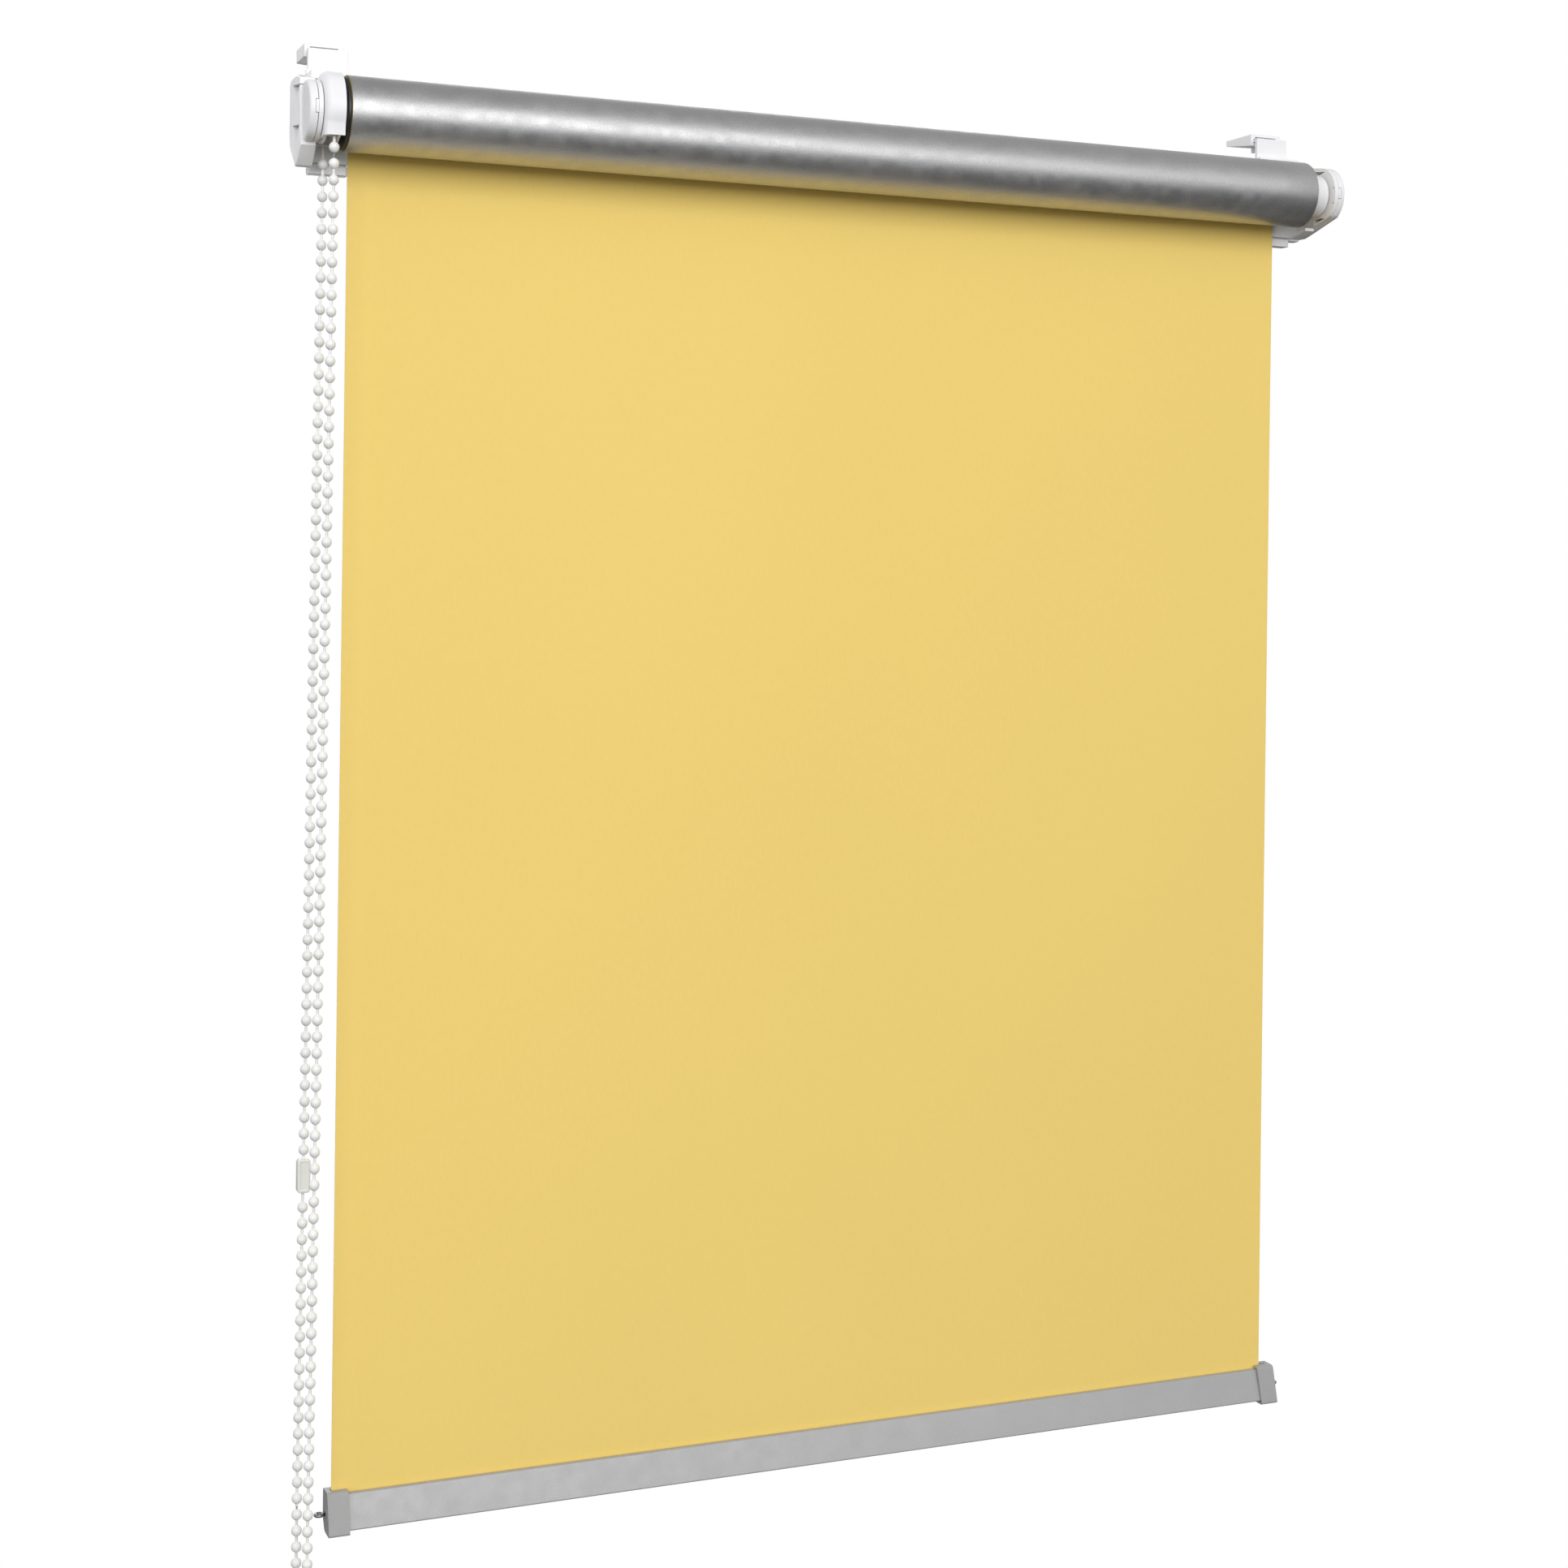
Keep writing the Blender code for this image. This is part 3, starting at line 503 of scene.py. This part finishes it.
def standing_at(place, direction):
    """A matrix that moves to a place and points Z along a direction."""
    return Matrix.Translation(place) @ direction.to_track_quat("Z", "Y").to_matrix().to_4x4()


def add_cord(bm, points):
    """A thin round cord through the points, closed at both ends, added to a bmesh."""
    cord_bm = bmesh.new()
    ring = bmesh.ops.create_circle(cord_bm, segments=CORD_SIDES, radius=CORD_RADIUS)["verts"]
    last_stand = Matrix.Identity(4)
    for i, point in enumerate(points):
        ahead = points[min(i + 1, len(points) - 1)] - points[max(i - 1, 0)]
        stand = standing_at(point, ahead)
        if i:
            edges = list({e for v in ring for e in v.link_edges if all(w in ring for w in e.verts)})
            made = bmesh.ops.extrude_edge_only(cord_bm, edges=edges)["geom"]
            ring = [g for g in made if isinstance(g, bmesh.types.BMVert)]
        bmesh.ops.transform(cord_bm, matrix=stand @ last_stand.inverted(), verts=ring)
        last_stand = stand
    ends = [e for e in cord_bm.edges if len(e.link_faces) == 1]
    bmesh.ops.holes_fill(cord_bm, edges=ends, sides=CORD_SIDES)
    bm.from_mesh(finished_mesh("cord_core", cord_bm))


cord_steps = 2 * round((CHAIN_END - START) / PITCH)
cord_step = (CHAIN_END - START) / cord_steps
cord_points = [chain_point(START + cord_step * i) for i in range(cord_steps + 1)]

# %% [markdown]
# The beads are set from both ends. Counting down the front from the drum, and down the rear
# from the drum, leaves any odd bit of pitch at the connector, which is where a real chain is
# joined.

# %% Hanging beads
FIRST_FRONT_BEAD = 14.4 * MM
FIRST_REAR_BEAD = 17.8 * MM
LOOK_AHEAD = 0.5 * MM


def bead_places():
    """Beads from the front up to the connector, then down from the rear top to it."""
    places = []
    travel = FIRST_FRONT_BEAD
    while travel < CONNECTOR_FROM - PITCH / 2:
        places.append(travel)
        travel += PITCH
    travel = CHAIN_END + START - FIRST_REAR_BEAD
    while travel > CONNECTOR_TO + PITCH / 2:
        places.append(travel)
        travel -= PITCH
    return sorted(places)


def add_bead(bm, stand):
    """One more bead in a bmesh, placed by a matrix."""
    start = len(bm.verts)
    bm.from_mesh(bead_mesh)
    bm.verts.ensure_lookup_table()
    bmesh.ops.transform(bm, matrix=stand, verts=bm.verts[start:])


chain_bm = bmesh.new()
for travel in bead_places():
    here, ahead = chain_point(travel), chain_point(travel + LOOK_AHEAD)
    add_bead(chain_bm, standing_at(here, ahead - here))
add_cord(chain_bm, cord_points)
chain = add_piece("bead_chain", chain_bm, BEAD, "mount_frame", smooth_angle=60)
print("beads on the hanging loop:", len(bead_places()), "faces:", len(chain.data.polygons))

# %% [markdown]
# The connector is a flat moulded shell that snaps over the last bead at each end. A cube,
# scaled and well bevelled, gives its pebble shape, and an inset panel on each face is the seam
# where its two halves close.

# %% Chain connector
CONNECTOR_CORNER = 1.3 * MM
CONNECTOR_RIM = 0.5 * MM
SEAM_MARGIN, SEAM_WIDTH, SEAM_DEPTH = 0.5 * MM, 0.25 * MM, 0.3 * MM
SMALLEST_FACE = 20 * MM * MM

connector_bm = bmesh.new()
size = connector_high - connector_low
centre = (connector_high + connector_low) / 2
bmesh.ops.create_cube(connector_bm, size=1.0,
                      matrix=Matrix.Translation(centre) @ Matrix.Diagonal((*size, 1.0)))
uprights = [e for e in connector_bm.edges if abs(e.verts[0].co.y - e.verts[1].co.y) > size.y / 2]
bmesh.ops.bevel(connector_bm, geom=uprights, offset=CONNECTOR_CORNER, segments=4, affect="EDGES",
                profile=0.5, material=-1)
rims = [e for e in connector_bm.edges if abs(e.verts[0].co.y - e.verts[1].co.y) < 1e-7]
bmesh.ops.bevel(connector_bm, geom=rims, offset=CONNECTOR_RIM, segments=3, affect="EDGES",
                profile=0.5, material=-1)
fronts = [f for f in connector_bm.faces if abs(f.normal.y) > 0.99 and f.calc_area() > SMALLEST_FACE]
for face in fronts:
    bmesh.ops.inset_region(connector_bm, faces=[face], thickness=SEAM_MARGIN, depth=0)
    bmesh.ops.inset_region(connector_bm, faces=[face], thickness=SEAM_WIDTH, depth=-SEAM_DEPTH)
connector = add_piece("chain_joiner", connector_bm, NATURAL, "mount_frame")
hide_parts("chain_connector")
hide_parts("chain_run_front", "chain_run_rear")
print("connector", [round(v / MM, 1) for v in size], "mm")

# %% [markdown]
# The beads that sit in the wheel turn with it, so they are a piece of their own: the same bead,
# copied to each of the upper pockets, with an arc of cord between them.

# %% Beads on the wheel
SEATED_BEADS = WHEEL_POCKETS // 2 + 1
ARC_STEPS = 30


def wheel_point(angle):
    return Vector((CHAIN_X, AXIS.y + WHEEL_RADIUS * math.cos(angle),
                   AXIS.z + WHEEL_RADIUS * math.sin(angle)))


wheel_bm = bmesh.new()
for k in range(SEATED_BEADS):
    angle = 2 * math.pi * k / WHEEL_POCKETS
    add_bead(wheel_bm, Matrix.Translation(wheel_point(angle)) @ Matrix.Rotation(angle, 4, "X"))
add_cord(wheel_bm, [wheel_point(math.pi * i / ARC_STEPS) for i in range(ARC_STEPS + 1)])
wheel_beads = add_piece("seated_beads", wheel_bm, BEAD, "drive_wheel", smooth_angle=60)
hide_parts("chain_on_wheel")
print("beads on the wheel:", SEATED_BEADS)

# %% [markdown]
# ## The cloth
#
# The hanging cloth is a plain weave with a silver coating on the window side. A flat grid would
# look like card, so the sheet gets the very shallow waves that hanging cloth keeps, strongest
# midway between roll and rail, where nothing holds it. The weave itself is drawn on the sheet's
# own UV map, measured in metres, so threads stay the same size everywhere and follow the cloth
# when it moves. Each thread is a rounded ridge, and warp and weft take turns on top.

# %% Cloth material
THREAD_PITCH = 0.46 * MM


def wave_value(tree, coordinate, frequency, phase=0.0):
    """sin(2 pi f x + phase) as two math nodes."""
    angle = math_node(tree, "MULTIPLY_ADD", coordinate, 2 * math.pi * frequency, phase)
    return math_node(tree, "SINE", angle)


def weave_height(tree, across, down):
    """Rounded ridges both ways; the checkered wave tells which thread is on top."""
    half = 0.5 / THREAD_PITCH
    warp = math_node(tree, "ABSOLUTE", wave_value(tree, across, half))
    weft = math_node(tree, "ABSOLUTE", wave_value(tree, down, half))
    over = math_node(tree, "MULTIPLY", wave_value(tree, across, half, math.pi / 2),
                     wave_value(tree, down, half, math.pi / 2))
    warp_up = math_node(tree, "MULTIPLY", warp, math_node(tree, "MULTIPLY_ADD", over, 0.5, 0.5))
    weft_up = math_node(tree, "MULTIPLY", weft, math_node(tree, "MULTIPLY_ADD", over, -0.5, 0.5))
    return math_node(tree, "MAXIMUM", warp_up, weft_up)


def cloth_material():
    material = bpy.data.materials.new("yellow_cloth_silver_back")
    material.use_nodes = True
    tree = material.node_tree
    shader = tree.nodes["Principled BSDF"]
    uv = tree.nodes.new("ShaderNodeUVMap")
    uv.uv_map = "threads"
    parts = tree.nodes.new("ShaderNodeSeparateXYZ")
    tree.links.new(uv.outputs["UV"], parts.inputs[0])
    across, down = parts.outputs["X"], parts.outputs["Y"]
    height = weave_height(tree, across, down)

    slub = tree.nodes.new("ShaderNodeTexNoise")
    slub.inputs["Scale"].default_value = 1.0
    slub.inputs["Detail"].default_value = 3.0
    stretch = tree.nodes.new("ShaderNodeMapping")
    stretch.inputs["Scale"].default_value = (700, 300, 1)
    tree.links.new(uv.outputs["UV"], stretch.inputs["Vector"])
    tree.links.new(stretch.outputs[0], slub.inputs["Vector"])
    thread_tone = math_node(tree, "MULTIPLY_ADD", slub.outputs["Fac"], 0.05, 0.975)
    # Painted shade: the yellow is darkened in the hollows between threads and lightened on their ridges.
    weave_hollow_shade = math_node(tree, "MULTIPLY_ADD", height, 0.10, 0.93)
    soft = add_group(tree, HANDLING, 120.0, 0.008)
    fine = add_group(tree, FINE_GRAIN, 0.5, 0.05)
    front = tinted(tree, srgb(251, 219, 123), thread_tone, weave_hollow_shade, soft.outputs["Value"])
    back = tinted(tree, srgb(178, 178, 179), fine.outputs["Value"], soft.outputs["Value"])
    side = tree.nodes.new("ShaderNodeAttribute")
    side.attribute_name = "coated"
    colour = tree.nodes.new("ShaderNodeMix")
    colour.data_type = "RGBA"
    tree.links.new(side.outputs["Fac"], colour.inputs["Factor"])
    tree.links.new(front, colour.inputs["A"])
    tree.links.new(back, colour.inputs["B"])
    tree.links.new(colour.outputs["Result"], shader.inputs["Base Color"])
    rough = tree.nodes.new("ShaderNodeMapRange")
    rough.inputs["To Min"].default_value = 0.88
    rough.inputs["To Max"].default_value = 0.45
    tree.links.new(side.outputs["Fac"], rough.inputs["Value"])
    tree.links.new(rough.outputs["Result"], shader.inputs["Roughness"])
    metal = math_node(tree, "MULTIPLY", side.outputs["Fac"], 0.5)
    tree.links.new(metal, shader.inputs["Metallic"])
    bump = tree.nodes.new("ShaderNodeBump")
    bump.inputs["Strength"].default_value = 0.35
    bump.inputs["Distance"].default_value = 0.12 * MM
    tree.links.new(height, bump.inputs["Height"])
    tree.links.new(bump.outputs["Normal"], shader.inputs["Normal"])
    shader.inputs["Sheen Weight"].default_value = 0.12
    shader.inputs["Sheen Roughness"].default_value = 0.5
    return material


CLOTH = cloth_material()
print("threads per centimetre:", round(10 / (THREAD_PITCH / MM)))

# %% [markdown]
# The sheet starts as a flat grid, turned upright and thickened. Every point then moves a few
# tenths of a millimetre by the sum of two slow waves.

# %% Hanging cloth
WAVE_HEIGHT = 0.35 * MM
# share of the height, radians per metre across, radians over the drop, phase
WAVES = ((1.0, 31, 1.3, 0.0), (0.5, 67, -2.1, 0.8))
SHEET_THICKNESS = 0.33 * MM
sheet_top, sheet_foot = AXIS.z - 0.5 * MM, cloth_low.z
sheet_width, sheet_drop = cloth_high.x - cloth_low.x, sheet_top - sheet_foot

sheet_bm = bmesh.new()
stand = (Matrix.Translation((0, CLOTH_Y, (sheet_top + sheet_foot) / 2))
         @ Matrix.Rotation(math.pi / 2, 4, "X")
         @ Matrix.Diagonal((sheet_width, sheet_drop, 1, 1)))
bmesh.ops.create_grid(sheet_bm, x_segments=90, y_segments=110, size=0.5, matrix=stand)
for face in sheet_bm.faces:
    face.normal_update()
if sheet_bm.faces[:][0].normal.y > 0:
    bmesh.ops.reverse_faces(sheet_bm, faces=sheet_bm.faces)
shell = bmesh.ops.solidify(sheet_bm, geom=sheet_bm.faces[:], thickness=SHEET_THICKNESS)
threads = sheet_bm.loops.layers.uv.new("threads")
coated = sheet_bm.verts.layers.float.new("coated")
sheet_bm.normal_update()
middle_y = sum(v.co.y for v in sheet_bm.verts) / len(sheet_bm.verts)
for vert in sheet_bm.verts:
    vert[coated] = 1.0 if vert.co.y > middle_y else 0.0
for face in sheet_bm.faces:
    for loop in face.loops:
        loop[threads].uv = (loop.vert.co.x, loop.vert.co.z)
for vert in sheet_bm.verts:
    hang = (sheet_top - vert.co.z) / sheet_drop
    loose = math.sin(math.pi * hang) ** 0.7 if 0 < hang < 1 else 0.0
    ripple = sum(share * math.sin(vert.co.x * across + down * hang + phase)
                 for share, across, down, phase in WAVES)
    vert.co.y += WAVE_HEIGHT * loose * ripple - (middle_y - CLOTH_Y)
hanging_cloth = add_piece("hanging_cloth", sheet_bm, CLOTH, None, recalc=False)
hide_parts("hanging_fabric")
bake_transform(hanging_cloth)
print(f"hanging cloth {sheet_width / MM:.0f} x {sheet_drop / MM:.0f} mm")

# %% [markdown]
# ## The roll
#
# What is left of the cloth is wound coating-side out, so the roll is silver. Its ends show the
# edges of the winding, one thin yellow line per turn. The ends get a ring pattern whose spacing
# is the cloth's thickness, worked out from the distance to the tube's axis.

# %% Wound cloth edge
tube_low, tube_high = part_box("roller_tube")
TUBE_RADIUS = (tube_high.z - tube_low.z) / 2


def wound_edge_material():
    material = bpy.data.materials.new("wound_cloth_edge")
    material.use_nodes = True
    tree = material.node_tree
    shader = tree.nodes["Principled BSDF"]
    place = tree.nodes.new("ShaderNodeTexCoord")
    centre = tree.nodes.new("ShaderNodeMapping")
    centre.inputs["Location"].default_value = (0, -AXIS.y, -AXIS.z)
    tree.links.new(place.outputs["Object"], centre.inputs["Vector"])
    parts = tree.nodes.new("ShaderNodeSeparateXYZ")
    tree.links.new(centre.outputs[0], parts.inputs[0])
    y_squared = math_node(tree, "MULTIPLY", parts.outputs["Y"], parts.outputs["Y"])
    radius = math_node(tree, "SQRT", math_node(tree, "MULTIPLY_ADD", parts.outputs["Z"],
                                               parts.outputs["Z"], y_squared))
    layer = wave_value(tree, radius, 1 / SHEET_THICKNESS)
    tone = math_node(tree, "MULTIPLY_ADD", layer, 0.3, 0.7)
    tree.links.new(tinted(tree, srgb(226, 200, 120), tone), shader.inputs["Base Color"])
    shader.inputs["Roughness"].default_value = 0.85
    bump = tree.nodes.new("ShaderNodeBump")
    bump.inputs["Distance"].default_value = 0.15 * MM
    bump.inputs["Strength"].default_value = 0.6
    tree.links.new(layer, bump.inputs["Height"])
    tree.links.new(bump.outputs["Normal"], shader.inputs["Normal"])
    return material


WOUND_EDGE = wound_edge_material()
print("turns left on the tube: about", round((ROLL_RADIUS - TUBE_RADIUS) / SHEET_THICKNESS))

# %% [markdown]
# A turned sleeve makes the roll's body. It is spun with many steps so that its outline is truly
# round, and it has a tiny rounding where the cloth's edge turns in. A few rings along its
# length keep its long faces from becoming slivers.

# %% Wound cloth
ROLL_STEPS = 128
ROLL_RINGS = 24
EDGE_ROUND = 0.25 * MM
TUBE_CLEARANCE = 0.25 * MM


def sleeve_end(x, inward):
    """Half of the sleeve's section at one end, from the tube out; inward is +1 or -1."""
    return [(x, TUBE_RADIUS + TUBE_CLEARANCE), (x, ROLL_RADIUS - EDGE_ROUND),
            (x + inward * EDGE_ROUND * 0.3, ROLL_RADIUS - EDGE_ROUND * 0.3),
            (x + inward * EDGE_ROUND, ROLL_RADIUS)]


ring_gap = (ROLL_RIGHT - ROLL_LEFT) / ROLL_RINGS
rings_along = [(ROLL_LEFT + ring_gap * i, ROLL_RADIUS) for i in range(1, ROLL_RINGS)]
profile = sleeve_end(ROLL_LEFT, 1) + rings_along + sleeve_end(ROLL_RIGHT, -1)[::-1]
roll_bm = bmesh.new()
ring = [roll_bm.verts.new((x, AXIS.y, AXIS.z + radius)) for x, radius in profile]
edges = [roll_bm.edges.new(pair) for pair in zip(ring, ring[1:] + ring[:1])]
bmesh.ops.spin(roll_bm, geom=ring + edges, cent=AXIS, axis=(1, 0, 0), angle=2 * math.pi,
               steps=ROLL_STEPS, use_merge=True)
wound_cloth = add_piece("wound_cloth", roll_bm, SILVER, "roll")
wound_cloth.data.materials.append(WOUND_EDGE)
for face in wound_cloth.data.polygons:
    if abs(face.normal.x) > 0.9:
        face.material_index = 1
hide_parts("fabric_roll")
print("roll faces:", len(wound_cloth.data.polygons))

# %% [markdown]
# ## The chain guard
#
# The drum over the wheel is the softest shape on the blind: its outer rim rolls over in a wide
# radius. We draw its section, an arch that ends in two short skirts, push it along the axis,
# open the side towards the roll and the mouth below, round the rim with one wide bevel, and
# then give the sheet its wall.

# %% Chain guard
guard_low, guard_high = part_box("chain_guard")
GUARD_RADIUS = (guard_high.y - guard_low.y) / 2
GUARD_WALL = 1.1 * MM
RIM_RADIUS = 3.2 * MM
MOUTH_HALF = 13.1 * MM
EDGE_TRIM = 0.9 * MM         # the wall's thickening adds this much past the open side
ARCH_FROM, ARCH_SWEEP, ARCH_STEPS = math.radians(-25), math.radians(230), 46

arch = [ARCH_FROM + ARCH_SWEEP * i / ARCH_STEPS for i in range(ARCH_STEPS + 1)]
section = [(AXIS.y + GUARD_RADIUS * math.cos(a), AXIS.z + GUARD_RADIUS * math.sin(a)) for a in arch]
section += [(AXIS.y - MOUTH_HALF, guard_low.z), (AXIS.y + MOUTH_HALF, guard_low.z)]
guard_bm = bmesh.new()
outer_face = guard_bm.faces.new([guard_bm.verts.new((guard_low.x, y, z)) for y, z in section])
pushed = bmesh.ops.extrude_face_region(guard_bm, geom=[outer_face])
moved = [v for v in pushed["geom"] if isinstance(v, bmesh.types.BMVert)]
bmesh.ops.translate(guard_bm, verts=moved, vec=(guard_high.x - guard_low.x - EDGE_TRIM, 0, 0))
bmesh.ops.recalc_face_normals(guard_bm, faces=guard_bm.faces)
open_faces = [f for f in guard_bm.faces if f.normal.x > 0.9 or f.normal.z < -0.99]
bmesh.ops.delete(guard_bm, geom=open_faces, context="FACES")
rim = [e for e in guard_bm.edges if len(e.link_faces) == 2
       and all(abs(v.co.x - guard_low.x) < 1e-6 for v in e.verts)]
bmesh.ops.bevel(guard_bm, geom=rim, offset=RIM_RADIUS, segments=7, affect="EDGES",
                profile=0.5, material=-1)
bmesh.ops.recalc_face_normals(guard_bm, faces=guard_bm.faces)
bmesh.ops.solidify(guard_bm, geom=guard_bm.faces[:], thickness=GUARD_WALL)
guard = add_piece("guard_drum", guard_bm, WHITE, "mount_frame", smooth_angle=50)
guard.modifiers.new("even_shading", "WEIGHTED_NORMAL").keep_sharp = True
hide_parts("chain_guard")
print("guard", [round(v / MM, 1) for v in guard.dimensions], "mm against",
      [round(v / MM, 1) for v in guard_high - guard_low])

# %% [markdown]
# ## Moulded ends, clamps and bottom bar
#
# The remaining pieces already have their real form in the frame. Each gets its finish, and an
# edge radius that suits how it is made: generous on the brackets and caps, tiny on the cut end
# of the extruded rail.

# %% Refined pieces
REFINED = (
    # finish, slot, then each node with its edge radius in millimetres
    (WHITE, "white_plastic", (
        ("left_bracket", 0.35), ("left_bracket_cap", 0.2), ("right_bracket", 0.3),
        ("right_bracket_cap", 0.3), ("left_clamp_plate", 0.15), ("right_clamp_plate", 0.15),
        ("left_clamp_hook", 0.2), ("right_clamp_hook", 0.2), ("chain_wheel", 0.1),
        ("idle_plug", 0.2), ("idle_pin", 0.15), ("hem_strip", 0.1))),
    (NATURAL, "natural_plastic", (("clutch_spindle", 0.1),)),
    (BLACK, "black_plastic", (("drive_plug", 0.15),)),
    (CAP_GREY, "grey_plastic", (("left_end_cap", 0.6), ("right_end_cap", 0.6))),
    (RAIL_PAINT, "rail_metal", (("bottom_rail", 0.08),)),
    (ALUMINIUM, "tube_metal", (("roller_tube", 0.08),)),
    (STEEL, "spring_steel", (
        ("left_cord_eye", 0.0), ("right_cord_eye", 0.0), ("spindle_screw", 0.1),
        ("wrap_spring", 0.0), ("idle_spring", 0.0))),
)
finished = {}
for material, slot_name, nodes in REFINED:
    for node, radius in nodes:
        finished[node] = refined(node, material, radius)
print("refined pieces:", len(finished))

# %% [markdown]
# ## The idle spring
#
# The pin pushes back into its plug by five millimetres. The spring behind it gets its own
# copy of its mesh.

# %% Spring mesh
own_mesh(finished["idle_spring"])

# %% [markdown]
# ## Snaps in the cap windows
#
# Each bracket cap is held by a small catch that shows through a window in its rim. A rounded
# block a tenth of a millimetre smaller than the window all round reads as a fine outline.

# %% Cap snaps
SNAP_DEPTH = 1.2 * MM
SNAP_ROUND = 0.12 * MM
SNAP_SUNK = 0.12 * MM


def cap_snap(name, inner_x, cap_radius, width, height):
    """A catch that fills a window on the front of a cap's rim."""
    bm = bmesh.new()
    front = AXIS.y - cap_radius + SNAP_SUNK
    place = Matrix.Translation((inner_x + width / 2, front + SNAP_DEPTH / 2, AXIS.z))
    bmesh.ops.create_cube(bm, size=1.0, matrix=place @ Matrix.Diagonal((width, SNAP_DEPTH, height, 1.0)))
    bmesh.ops.bevel(bm, geom=bm.edges[:], offset=SNAP_ROUND, segments=2, affect="EDGES",
                    profile=0.5, material=-1)
    add_piece(name, bm, WHITE, "mount_frame")


left_cap_low, left_cap_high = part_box("left_bracket_cap")
right_cap_low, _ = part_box("right_bracket_cap")
left_cap_radius, right_cap_radius = AXIS.y - left_cap_low.y, AXIS.y - right_cap_low.y
cap_snap("left_snap", left_cap_high.x - 0.85 * MM, left_cap_radius, 1.1 * MM, 4.8 * MM)
cap_snap("right_snap", right_cap_low.x - 0.1 * MM, right_cap_radius, 1.15 * MM, 4.4 * MM)
print("cap radii", round(left_cap_radius / MM, 1), round(right_cap_radius / MM, 1))
